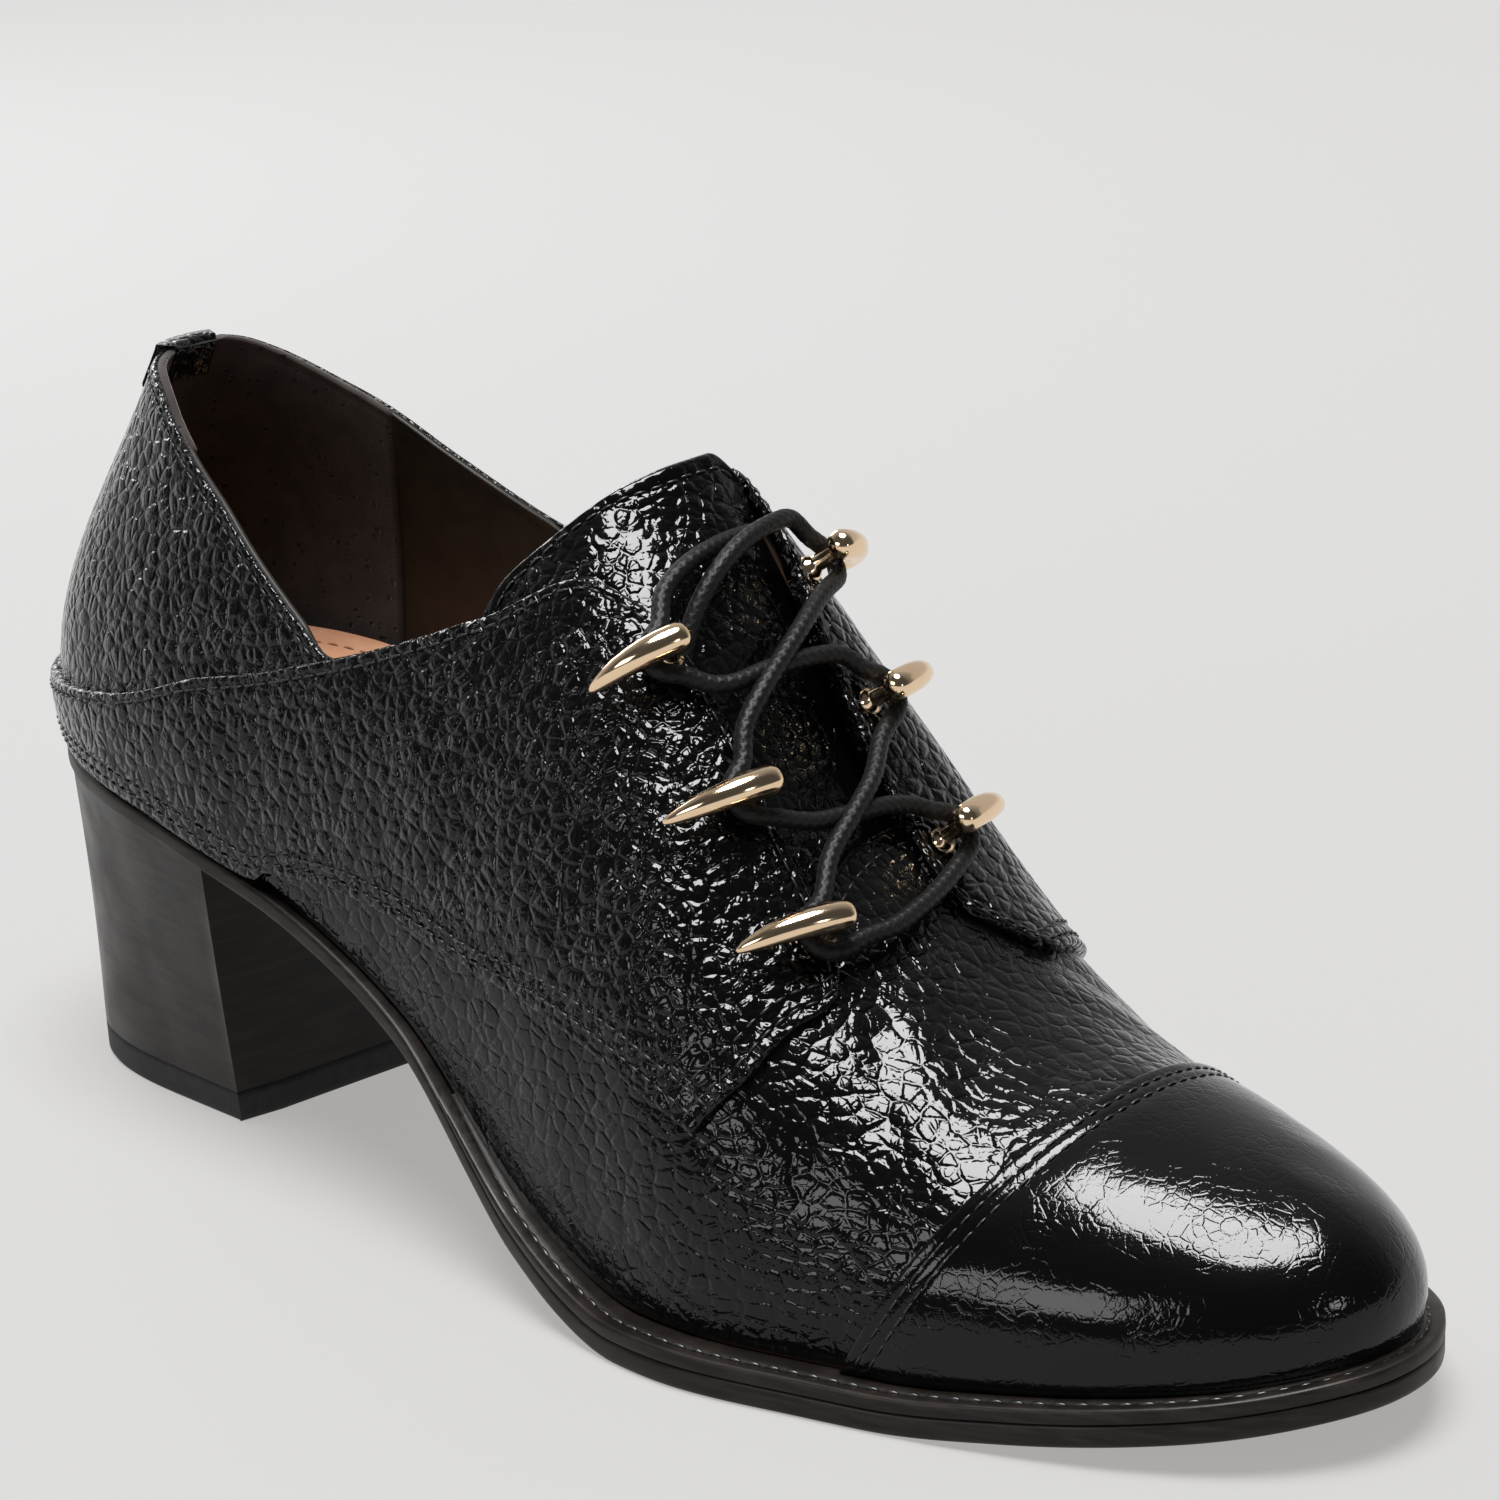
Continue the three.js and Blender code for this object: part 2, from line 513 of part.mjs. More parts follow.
// The throat of the vamp, between the facings and back to where the tongue is sewn on
function throatCut() {
  const inThroat = (row) => row.at <= THROAT_END;
  const lateral = facingLine(-1, QUARTERS.lateral.facing.filter(inThroat), THROAT_RETREAT);
  const medial = facingLine(1, QUARTERS.medial.facing.filter(inThroat), THROAT_RETREAT);
  const end = lastPoint(-1, THROAT_END, 1).x;
  lateral.push([end, lateral[lateral.length - 1][1]]);
  medial.push([end, medial[medial.length - 1][1]]);
  const back = lateral[0][0] - COLLAR_HEIGHT / 3;
  const outline2d = [[back, lateral[0][1]], ...lateral, ...medial.reverse(), [back, medial[medial.length - 1][1]]];
  const floor = lastPoint(-1, THROAT_END, 1, INNER).z - TONGUE_THICK;
  return planPrism(outline2d, floor, FAR);
}

function makeUpper() {
  const shell = lastSolid(OUTER).subtract(lastSolid(INNER, BELOW_SOLE));
  return shell.subtract(collarCut()).subtract(throatCut());
}

// A quarter: the layer over the upper, inside its side view outline and outside its facing edge
function makeQuarter(sideName) {
  const side = sideName === 'lateral' ? -1 : 1;
  const { front, facing } = QUARTERS[sideName];
  const layer = lastSolid(OUTER + GAP + QUARTER_THICK).subtract(lastSolid(OUTER + GAP, BELOW_SOLE));
  const inSide = ({ at, up }) => {
    const p = lastPoint(side, at, up);
    return [p.x, p.z];
  };
  const notch = TOPLINE[NOTCH_ROW];
  const notchPoint = inSide({ at: notch[`${sideName}At`], up: notch[`${sideName}Up`] });
  const rear = REAR_SEAM.map(inSide);
  const wing = WING_SEAM.map(inSide);
  const edge = front.map(inSide);
  const wingEnd = wing[wing.length - 1];
  const pattern = [
    [-FAR, rear[0][1]], ...rear, notchPoint,
    [notchPoint[0], FAR], [edge[0][0], FAR],
    ...edge, ...wing, [wingEnd[0], -FAR], [-FAR, -FAR],
  ];
  const half = side < 0 ? [-FAR, -GAP / 2] : [GAP / 2, FAR];
  const line = facingLine(side, facing);
  const lineEnd = line[line.length - 1];
  const past = lineEnd[0] + WELT_LEDGE * 2;
  const throat = planPrism([...line, [past, lineEnd[1]], [past, -side * FAR], [line[0][0], -side * FAR]], -FAR, FAR);
  const backHalf = sidePrism([[-FAR, -FAR], [LENGTH / 3, -FAR], [LENGTH / 3, FAR], [-FAR, FAR]], ...half);
  const frontHalf = sidePrism([[LENGTH / 3, -FAR], [FAR, -FAR], [FAR, FAR], [LENGTH / 3, FAR]], -FAR, FAR);
  const own = backHalf.add(frontHalf);
  const reach = side < 0 ? [-FAR, -side * BALL_WIDTH / 8] : [-side * BALL_WIDTH / 8, FAR];
  return layer.intersect(sidePrism(pattern, ...reach)).intersect(own).subtract(throat).subtract(collarCut());
}

function makeToeCap() {
  const layer = lastSolid(OUTER + GAP + CAP_THICK).subtract(lastSolid(OUTER + GAP, BELOW_SOLE));
  const foot = CAP_SEAM_ALONG * LENGTH;
  const lean = CAP_SEAM_LEAN * FAR;
  return layer.intersect(sidePrism([[foot - lean, -FAR], [FAR * 2, -FAR], [FAR * 2, FAR], [foot + lean, FAR]], -FAR, FAR));
}

function makeTongue() {
  const face = INNER - TONGUE_GAP;
  const grid = (out) => {
    const rows = [];
    for (let i = 0; i <= TONGUE_STEPS_ALONG; i += 1) {
      const b = i / TONGUE_STEPS_ALONG;
      const row = [];
      for (let j = -TONGUE_STEPS_ACROSS / 2; j <= TONGUE_STEPS_ACROSS / 2; j += 1) {
        const side = j < 0 ? -1 : 1;
        const reach = TONGUE_REACH[side < 0 ? 'lateral' : 'medial'];
        const across = Math.abs(j) / (TONGUE_STEPS_ACROSS / 2);
        const down = across * lerp(reach.end, reach.top, b);
        const spring = THREE.MathUtils.smoothstep(side * down, SPRING_FROM, SPRING_FULL) * b ** SPRING_POWER;
        const at = lerp(TONGUE_END, tongueTop(side, across), b);
        row.push(lastPoint(side, at, 1 - down, out + spring * TONGUE_SPRING));
      }
      rows.push(row);
    }
    return rows;
  };
  return sheetSolid(grid(face), grid(face - TONGUE_THICK));
}
function tongueTop(side, across) {
  const name = side < 0 ? 'lateral' : 'medial';
  let i = 0;
  while (i < TONGUE_TOP.length - 2 && across > TONGUE_TOP[i + 1].across) i += 1;
  const [a, b] = [TONGUE_TOP[i], TONGUE_TOP[i + 1]];
  const t = (across - a.across) / (b.across - a.across);
  return lerp(a[name], b[name], t);
}

// Flat rings of the sole: points along one side and back along the other
function soleStations() {
  const stations = [];
  for (let i = 0; i <= LAST_STATION * STEPS_ALONG; i += 1) stations.push(i / STEPS_ALONG);
  return stations;
}
function boardSolid(out, bottom, top, crossSteps = 1) {
  // A board with a shaped face starts and ends where its two sides are far enough apart
  const breadth = (u) => outline(1, u, out(u)).point.y - outline(-1, u, out(u)).point.y;
  const stations = soleStations().filter((u) => crossSteps === 1 || breadth(u) > BALL_WIDTH / 12);
  const grid = (level) => stations.map((u) => {
    const lateral = outline(-1, u, out(u)).point;
    const medial = outline(1, u, out(u)).point;
    const row = [];
    for (let j = 0; j <= crossSteps; j += 1) {
      const t = j / crossSteps;
      const p = lateral.clone().lerp(medial, t);
      row.push(vec(p.x, p.y, level(p.x, Math.abs(2 * t - 1))));
    }
    return row;
  });
  const lower = grid(bottom);
  const upper = grid(top);
  const faces = new Faces();
  const idsLow = lower.map((row) => row.map((p) => faces.point(p)));
  const idsHigh = upper.map((row) => row.map((p) => faces.point(p)));
  for (let i = 0; i + 1 < lower.length; i += 1) {
    for (let j = 0; j < crossSteps; j += 1) {
      faces.quad(idsHigh[i][j], idsHigh[i + 1][j], idsHigh[i + 1][j + 1], idsHigh[i][j + 1]);
      faces.quad(idsLow[i][j], idsLow[i][j + 1], idsLow[i + 1][j + 1], idsLow[i + 1][j]);
    }
    faces.quad(idsLow[i][0], idsLow[i + 1][0], idsHigh[i + 1][0], idsHigh[i][0]);
    const n = crossSteps;
    faces.quad(idsLow[i + 1][n], idsLow[i][n], idsHigh[i][n], idsHigh[i + 1][n]);
  }
  // The two ends are walls where the lateral and the medial edge meet, closed by the shared points
  const end = lower.length - 1;
  for (let j = 0; j < crossSteps; j += 1) {
    faces.quad(idsLow[0][j + 1], idsLow[0][j], idsHigh[0][j], idsHigh[0][j + 1]);
    faces.quad(idsLow[end][j], idsLow[end][j + 1], idsHigh[end][j + 1], idsHigh[end][j]);
  }
  return solid(faces.geometry());
}
const makeOutsole = () => boardSolid(() => 0, soleBottom, soleTop);

function makeInsole() {
  const out = (u) => -section('inset', u) * WELT_LEDGE + INNER - INSOLE_GAP;
  const bottom = (x) => soleTop(x) + GAP + SKIRT;
  const top = (x, rim) => {
    const middle = profile(INSOLE_PROFILE, 'middle', x / LENGTH);
    const edge = profile(INSOLE_PROFILE, 'rim', x / LENGTH);
    return bottom(x) + lerp(middle, edge, rim ** 3) * INSOLE_THICK;
  };
  return boardSolid(out, bottom, top, 4);
}

// The welt runs round the forepart, from one waist to the other
const WELT_START = 7;
const SEAT_GAP = GAP + 0.1;
const WELT_CAP_STATION = 9.6;
function makeWelt() {
  const ring = (side, u) => {
    const outer = outline(side, u).point;
    const layers = u > WELT_CAP_STATION ? GAP + CAP_THICK : 0;
    const inner = outline(side, u, -section('inset', u) * WELT_LEDGE + OUTER + layers + GAP).point;
    return [
      vec(outer.x, outer.y, soleTop(outer.x) + SEAT_GAP), vec(inner.x, inner.y, soleTop(inner.x) + SEAT_GAP),
      vec(inner.x, inner.y, weltTop(inner.x)), vec(outer.x, outer.y, weltTop(outer.x)),
    ];
  };
  const rings = [];
  for (let u = WELT_START; u < LAST_STATION; u += 1 / STEPS_ALONG) rings.push(ring(-1, u));
  for (let u = LAST_STATION; u >= WELT_START; u -= 1 / STEPS_ALONG) rings.push(ring(1, u));
  return loftSolid(rings);
}

// Heel outlines: the foot is a squared D, the head follows the sole's seat
const HEEL_SIDE_STEPS = 11;
const HEEL_BREAST_TOP = 57;
const HEEL_SQUARENESS = 2.7;
const HEEL_ROUND_FROM = 0.32;
const HEEL_HEAD_INSET = 0.5;
function heelFoot(side, t) {
  const middle = lerp(HEEL_BREAST, HEEL_BACK, HEEL_ROUND_FROM);
  let x;
  let y;
  if (t <= HEEL_ROUND_FROM) {
    x = lerp(HEEL_BREAST, middle, t / HEEL_ROUND_FROM);
    y = HEEL_WIDTH / 2;
  } else {
    const turn = ((t - HEEL_ROUND_FROM) / (1 - HEEL_ROUND_FROM)) * (Math.PI / 2);
    x = middle - (middle - HEEL_BACK) * Math.sin(turn) ** (2 / HEEL_SQUARENESS);
    y = (HEEL_WIDTH / 2) * Math.cos(turn) ** (2 / HEEL_SQUARENESS);
  }
  const turned = vec(x - middle, side * Math.max(y, 0), 0).applyAxisAngle(vec(0, 0, 1), THREE.MathUtils.degToRad(HEEL_TURN));
  return turned.add(vec(middle, 0, 0));
}
function stationAt(x) {
  let low = 0;
  let high = LAST_STATION;
  for (let i = 0; i < 30; i += 1) {
    const mid = (low + high) / 2;
    if (section('along', mid) * LENGTH < x) low = mid;
    else high = mid;
  }
  return (low + high) / 2;
}
function heelHead(side, t) {
  const station = stationAt(HEEL_BREAST_TOP) * (1 - t);
  const { point } = outline(side, station, -HEEL_HEAD_INSET);
  return vec(point.x, point.y, 0);
}
function heelRing(z, headShare) {
  const ring = [];
  const place = (side, t) => {
    const p = heelFoot(side, t).lerp(heelHead(side, t), headShare);
    const ceiling = soleBottom(p.x) - GAP;
    p.z = headShare >= 1 ? ceiling : z(ceiling);
    return p;
  };
  for (let i = 0; i <= HEEL_SIDE_STEPS; i += 1) ring.push(place(-1, i / HEEL_SIDE_STEPS));
  for (let i = HEEL_SIDE_STEPS - 1; i >= 0; i -= 1) ring.push(place(1, i / HEEL_SIDE_STEPS));
  return ring;
}
const liftShare = LIFT_THICK / HEEL_HEIGHT;
const makeLift = () => loftSolid([heelRing(() => 0, 0), heelRing(() => LIFT_THICK, liftShare)]);
function makeHeelBlock() {
  const foot = LIFT_THICK + GAP;
  const levels = [0, 0.5, 1].map((t) => {
    const share = lerp(foot / HEEL_HEIGHT, 1, t);
    return heelRing((ceiling) => lerp(foot, ceiling, t), share);
  });
  return loftSolid(levels);
}

// The folded tab over the collar at the back seam
const TAB_STEPS = 2;
function makeTab() {
  const rings = [];
  const halfStations = TAB_STEPS / STEPS_ALONG;
  for (let i = -TAB_STEPS; i <= TAB_STEPS; i += 1) {
    const side = i < 0 ? -1 : 1;
    const station = (Math.abs(i) / TAB_STEPS) * halfStations;
    const lowUp = 1 - TAB_DROP / COLLAR_HEIGHT;
    const outerLow = lastPoint(side, station, lowUp, OUTER + GAP + TAB_THICK);
    const outerHigh = lastPoint(side, station, 1, OUTER + GAP + TAB_THICK);
    const innerLow = lastPoint(side, station, lowUp, INNER - GAP - TAB_THICK);
    const innerHigh = lastPoint(side, station, 1, INNER - GAP - TAB_THICK);
    const outerIn = lastPoint(side, station, lowUp, OUTER + GAP);
    const outerInHigh = lastPoint(side, station, 1, OUTER + GAP);
    const innerIn = lastPoint(side, station, lowUp, INNER - GAP);
    const innerInHigh = lastPoint(side, station, 1, INNER - GAP);
    const lift = (p, by) => p.setZ(p.z + by);
    rings.push([
      outerLow, lift(outerHigh, GAP + TAB_THICK / 2), lift(innerHigh, GAP + TAB_THICK / 2), innerLow,
      innerIn, lift(innerInHigh, GAP), lift(outerInHigh, GAP), outerIn,
    ]);
  }
  const faces = new Faces();
  const ids = rings.map((ring) => ring.map((p) => faces.point(p)));
  const count = 8;
  for (let i = 0; i + 1 < rings.length; i += 1) {
    for (let j = 0; j < count; j += 1) {
      const k = (j + 1) % count;
      faces.quad(ids[i][j], ids[i][k], ids[i + 1][k], ids[i + 1][j]);
    }
  }
  const cap = (ring, flip) => {
    const quads = [[0, 1, 6, 7], [1, 2, 5, 6], [2, 3, 4, 5]];
    quads.forEach(([a, b, c, d]) => (flip ? faces.quad(ring[a], ring[b], ring[c], ring[d])
      : faces.quad(ring[d], ring[c], ring[b], ring[a])));
  };
  cap(ids[0], false);
  cap(ids[ids.length - 1], true);
  const body = solid(faces.geometry());
  if (body.volume() > 0) return body;
  faces.faces = faces.faces.map(([a, b, c]) => [a, c, b]);
  return solid(faces.geometry());
}

// A hook's own axes: foot on the quarter, up off the leather, away towards the horn's tip
const SEAT_OF_HOOK = OUTER + 2 * GAP + QUARTER_THICK;
function hookFrame(sideName, row) {
  const side = sideName === 'lateral' ? -1 : 1;
  const foot = lastPoint(side, row.at, row.up, SEAT_OF_HOOK);
  const up = lastNormal(side, row.at, row.up);
  const tip = lastPoint(side, row.tipAt, row.tipUp, SEAT_OF_HOOK);
  const away = tip.sub(foot);
  away.addScaledVector(up, -away.dot(up)).normalize();
  return { foot, up, away, across: up.clone().cross(away) };
}
// Horn rings: share of its length from the leg, and its thickness as a share. The tip bends down to the leather.
const HORN_RINGS = [
  { at: -0.20, size: 0.20 }, { at: -0.185, size: 0.62 }, { at: -0.13, size: 0.92 }, { at: -0.02, size: 1.00 },
  { at: 0.22, size: 0.98 }, { at: 0.48, size: 0.80 }, { at: 0.70, size: 0.52 }, { at: 0.80, size: 0.18 },
];
const HORN_SIDES = 8;
const HORN_END = HORN_RINGS[HORN_RINGS.length - 1].at;
const BEND_POWER = 2.2;
const PLATE_SIDES = 10;
const PLATE_SHIFT = 0.15;
const STATION_PITCH = LENGTH / 12.5;
const RIB_LENGTH = BALL_WIDTH;
const quarterSkin = lastSolid(SEAT_OF_HOOK);
function makeHook(sideName, row) {
  const side = sideName === 'lateral' ? -1 : 1;
  const { foot, up, away, across } = hookFrame(sideName, row);
  const place = (a, b, c) => foot.clone().addScaledVector(away, a).addScaledVector(across, b).addScaledVector(up, c);
  const ringAround = (sides, pointAt) => Array.from({ length: sides }, (_, k) => pointAt((k / sides) * Math.PI * 2));
  const axisHeight = HORN_CLEAR + HORN_WIDTH / 2;
  const tip = lastPoint(side, row.tipAt, row.tipUp, SEAT_OF_HOOK)
    .addScaledVector(lastNormal(side, row.tipAt, row.tipUp), TIP_LIFT);
  const bend = tip.sub(place(HORN_END * HORN_LENGTH, 0, axisHeight));
  const axisAt = (at) => place(at * HORN_LENGTH, 0, axisHeight)
    .addScaledVector(bend, (Math.max(at, 0) / HORN_END) ** BEND_POWER);
  const horn = loftSolid(HORN_RINGS.map(({ at, size }) => {
    const centre = axisAt(at);
    const way = axisAt(at + 0.01).sub(axisAt(at - 0.01)).normalize();
    const level = across.clone().addScaledVector(way, -across.dot(way)).normalize();
    const rise = level.clone().cross(way);
    const radius = (HORN_WIDTH / 2) * size;
    return ringAround(HORN_SIDES, (turn) => centre.clone()
      .addScaledVector(level, radius * Math.cos(turn)).addScaledVector(rise, radius * Math.sin(turn)));
  }));
  const leg = loftSolid([PLATE_THICK / 2, axisHeight].map((height) => ringAround(HORN_SIDES, (turn) => (
    place((LEG_WIDTH / 2) * Math.cos(turn), (LEG_WIDTH / 2) * Math.sin(turn), height)))));
  // The base plate hugs the leather: its outline is laid out along the station and the way up
  const alongAway = (row.tipAt - row.at) * STATION_PITCH;
  const upAway = (row.tipUp - row.up) * RIB_LENGTH;
  const away2 = new THREE.Vector2(alongAway, upAway).normalize();
  const plate = loftSolid([-PLATE_THICK / 2, PLATE_THICK].map((height) => ringAround(PLATE_SIDES, (turn) => {
    const a = (PLATE_LENGTH / 2) * Math.cos(turn) + PLATE_LENGTH * PLATE_SHIFT;
    const b = (PLATE_WIDTH / 2) * Math.sin(turn);
    const at = row.at + (away2.x * a - away2.y * b) / STATION_PITCH;
    const rise = row.up + (away2.y * a + away2.x * b) / RIB_LENGTH;
    return lastPoint(side, at, rise, SEAT_OF_HOOK + height);
  })));
  return horn.add(leg).add(plate).subtract(quarterSkin);
}

// The lace runs from hook to hook, round the outer side of each leg and under its horn.
// Its free points are a station, a share of the way up and a height over the last.
const LACE_RUNS = [
  { from: ['lateral', 0], to: ['medial', 1], leaves: 'toe', meets: 'heel', points: [
    { side: -1, at: 8.84, up: 0.735, lift: 2.9 }, { side: -1, at: 8.97, up: 0.780, lift: 3.0 },
    { side: -1, at: 9.06, up: 0.850, lift: 3.0 }, { side: -1, at: 9.12, up: 0.920, lift: 3.0 },
    { side: -1, at: 9.16, up: 1.000, lift: 3.0 }, { side: 1, at: 9.17, up: 0.930, lift: 3.0 },
  ] },
  { from: ['medial', 1], to: ['lateral', 2], leaves: 'toe', meets: 'heel', points: [
    { side: 1, at: 9.52, up: 0.945, lift: 3.2 }, { side: -1, at: 9.66, up: 0.960, lift: 4.0 },
    { side: -1, at: 9.73, up: 0.870, lift: 4.0 }, { side: -1, at: 9.76, up: 0.770, lift: 3.4 },
  ] },
  { from: ['lateral', 2], to: ['medial', 2], leaves: 'toe', meets: 'toe', points: [
    { side: -1, at: 10.13, up: 0.735, lift: 2.9 }, { side: -1, at: 10.24, up: 0.800, lift: 2.9 },
    { side: -1, at: 10.29, up: 0.880, lift: 2.9 }, { side: -1, at: 10.28, up: 0.970, lift: 2.9 },
  ] },
  { from: ['medial', 2], to: ['lateral', 1], leaves: 'heel', meets: 'toe', points: [
    { side: 1, at: 9.83, up: 0.930, lift: 3.0 }, { side: -1, at: 9.79, up: 0.970, lift: 3.0 },
    { side: -1, at: 9.72, up: 0.870, lift: 3.0 }, { side: -1, at: 9.60, up: 0.780, lift: 2.9 },
  ] },
  { from: ['lateral', 1], to: ['medial', 0], leaves: 'heel', meets: 'toe', points: [
    { side: -1, at: 9.12, up: 0.745, lift: 3.4 }, { side: -1, at: 9.10, up: 0.820, lift: 4.0 },
    { side: -1, at: 9.08, up: 0.890, lift: 4.0 }, { side: -1, at: 9.03, up: 0.960, lift: 4.0 },
    { side: 1, at: 8.90, up: 0.920, lift: 3.4 },
  ] },
];
// The two last runs go from the top hooks to where they tuck in at the other facing
const LACE_TUCKS = [
  { from: ['lateral', 0], points: [
    { side: -1, at: 8.42, up: 0.760, lift: 2.6 }, { side: -1, at: 8.45, up: 0.820, lift: 2.2 },
    { side: -1, at: 8.50, up: 0.890, lift: 1.6 }, { side: -1, at: 8.53, up: 0.960, lift: 1.0 },
    { side: 1, at: 8.54, up: 0.985, lift: 0.8 },
  ] },
  { from: ['medial', 0], points: [
    { side: 1, at: 8.50, up: 0.890, lift: 3.8 }, { side: 1, at: 8.55, up: 0.960, lift: 4.0 },
    { side: -1, at: 8.58, up: 0.950, lift: 4.0 }, { side: -1, at: 8.60, up: 0.880, lift: 3.4 },
    { side: -1, at: 8.62, up: 0.830, lift: 2.2 }, { side: -1, at: 8.64, up: 0.800, lift: 1.0 },
  ] },
];
const LACE_SIDES = 8;
const LACE_STEP = 0.8 * LACE_WIDTH;
const LACE_ROUND = (LEG_WIDTH + LACE_WIDTH) / 2 + 2.6 * LACE_GAP;
const LACE_LEVEL = PLATE_THICK + LACE_GAP + LACE_WIDTH / 2;
const freePoint = ({ side, at, up, lift }) => lastPoint(side, at, up).addScaledVector(lastNormal(side, at, up), lift);

// Points round a hook's leg, from the side away from the throat to its toe or heel side
function laceRound([sideName, index], towards) {
  const { foot, up, away, across } = hookFrame(sideName, HOOKS[sideName][index]);
  const toeward = sideName === 'lateral' ? 1 : -1;
  const turnWay = towards === 'toe' ? toeward : -toeward;
  return [0, 30, 60, 90].map((degrees) => {
    const turn = THREE.MathUtils.degToRad(degrees);
    return foot.clone().addScaledVector(up, LACE_LEVEL)
      .addScaledVector(away, LACE_ROUND * Math.cos(turn))
      .addScaledVector(across, turnWay * LACE_ROUND * Math.sin(turn));
  });
}
function laceTube(points) {
  const curve = new THREE.CatmullRomCurve3(points, false, 'centripetal');
  const ring = new THREE.Shape();
  for (let k = 0; k < LACE_SIDES; k += 1) {
    const turn = (k / LACE_SIDES) * Math.PI * 2;
    const corner = [(LACE_WIDTH / 2) * Math.cos(turn), (LACE_WIDTH / 2) * Math.sin(turn)];
    if (k === 0) ring.moveTo(...corner);
    else ring.lineTo(...corner);
  }
  ring.closePath();
  const steps = Math.round(curve.getLength() / LACE_STEP);
  return solid(new THREE.ExtrudeGeometry(ring, { extrudePath: curve, steps, bevelEnabled: false }));
}
function makeLace() {
  const tubes = LACE_RUNS.map(({ from, to, leaves, meets, points }) => laceTube([
    ...laceRound(from, leaves), ...points.map(freePoint), ...laceRound(to, meets).reverse(),
  ]));
  const tucks = LACE_TUCKS.map(({ from, points }) => laceTube([
    ...laceRound(from, 'heel'), ...points.map(freePoint),
  ]));
  return tubes.concat(tucks).reduce((joined, tube) => joined.add(tube));
}

// Pieces as named meshes
const FINISH = {
  patent: { color: 0x0b0b0c, roughness: 0.18, metalness: 0 },
  soleEdge: { color: 0x17130f, roughness: 0.45, metalness: 0 },
  insole: { color: 0xc98f68, roughness: 0.6, metalness: 0 },
  gold: { color: 0xe0b98a, roughness: 0.2, metalness: 1 },
  lace: { color: 0x151515, roughness: 0.7, metalness: 0 },
};
const shoe = new THREE.Group();
shoe.name = 'block_heel_lace_up_shoe';
const widest = (name) => Math.max(...SECTIONS.map((row) => row[name])) * BALL_WIDTH;
shoe.position.set((BACK_OVERHANG - LENGTH) / 2, (widest('lateral') - widest('medial')) / 2, 0);
function addPiece(name, body, finish) {
  const geometry = geometryOf(body);
  const mesh = new THREE.Mesh(geometry, new THREE.MeshStandardMaterial({ ...finish }));
  mesh.name = name;
  shoe.add(mesh);
}
addPiece('outsole', makeOutsole(), FINISH.soleEdge);
addPiece('welt', makeWelt(), FINISH.soleEdge);
addPiece('heel_block', makeHeelBlock(), FINISH.soleEdge);
addPiece('heel_top_lift', makeLift(), FINISH.soleEdge);
addPiece('insole', makeInsole(), FINISH.insole);
addPiece('upper', makeUpper(), FINISH.patent);
addPiece('quarter_lateral', makeQuarter('lateral'), FINISH.patent);
addPiece('quarter_medial', makeQuarter('medial'), FINISH.patent);
addPiece('toe_cap', makeToeCap(), FINISH.patent);
addPiece('tongue', makeTongue(), FINISH.patent);
addPiece('back_tab', makeTab(), FINISH.patent);
for (const sideName of ['lateral', 'medial']) {
  HOOKS[sideName].forEach((row, i) => {
    addPiece(`hook_${sideName}_${i + 1}`, makeHook(sideName, row), FINISH.gold);
  });
}
addPiece('lace', makeLace(), FINISH.lace);

export default shoe;
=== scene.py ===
"""Looks of the block-heel lace-up shoe, for Blender 4.5.

The shoe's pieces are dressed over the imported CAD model. Sizes are in millimetres in the
shoe's own axes, with x from the heel's back edge, y to the inner side and z up from the
floor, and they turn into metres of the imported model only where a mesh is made.
"""

from __future__ import annotations

import logging
import math
from dataclasses import dataclass, field
from enum import Enum
from typing import Callable, Iterable, Sequence

import bmesh
import bpy
import numpy as np
from mathutils import Matrix, Vector


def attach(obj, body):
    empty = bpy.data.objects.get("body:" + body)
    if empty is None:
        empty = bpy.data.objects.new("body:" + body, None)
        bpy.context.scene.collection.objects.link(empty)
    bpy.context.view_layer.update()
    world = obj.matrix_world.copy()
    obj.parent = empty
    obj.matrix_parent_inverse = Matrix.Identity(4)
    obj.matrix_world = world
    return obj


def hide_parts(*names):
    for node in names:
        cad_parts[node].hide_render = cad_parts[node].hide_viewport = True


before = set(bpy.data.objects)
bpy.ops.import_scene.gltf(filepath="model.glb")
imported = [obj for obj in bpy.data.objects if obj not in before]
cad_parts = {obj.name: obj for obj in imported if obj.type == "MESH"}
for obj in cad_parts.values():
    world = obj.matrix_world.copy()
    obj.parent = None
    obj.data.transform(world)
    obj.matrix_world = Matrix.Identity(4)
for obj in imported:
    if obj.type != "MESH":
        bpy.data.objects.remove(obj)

log = logging.getLogger("shoe")
Array = np.ndarray
Socket = bpy.types.NodeSocket
BODY = "root"

# Driving sizes, in millimetres
MM = 0.001
LENGTH = 249.0
BALL_WIDTH = 85.0
HEEL_HEIGHT = 48.6
TOE_SPRING = 7.7
COLLAR_HEIGHT = 59.0
WAIST_THICK = 3.0
SOLE_THICK = 3.5
WELT_THICK = 2.0
WELT_LEDGE = 4.4
HEEL_BREAST = 53.0
HEEL_BREAST_TOP = 57.0
HEEL_WIDTH = 44.0
HEEL_BACK = 5.6
HEEL_TURN = -3.0
LIFT_THICK = 5.0
HORN_LENGTH = 17.5
HORN_WIDTH = 4.2
TIP_LIFT = 2.8
LEG_WIDTH = 2.6
PLATE_THICK = 0.6
LACE_WIDTH = 2.6
LACE_GAP = 0.35
HORN_CLEAR = PLATE_THICK + LACE_WIDTH + 4.6 * LACE_GAP
BACK_OVERHANG = 1.8
INSOLE_THICK = 8.0

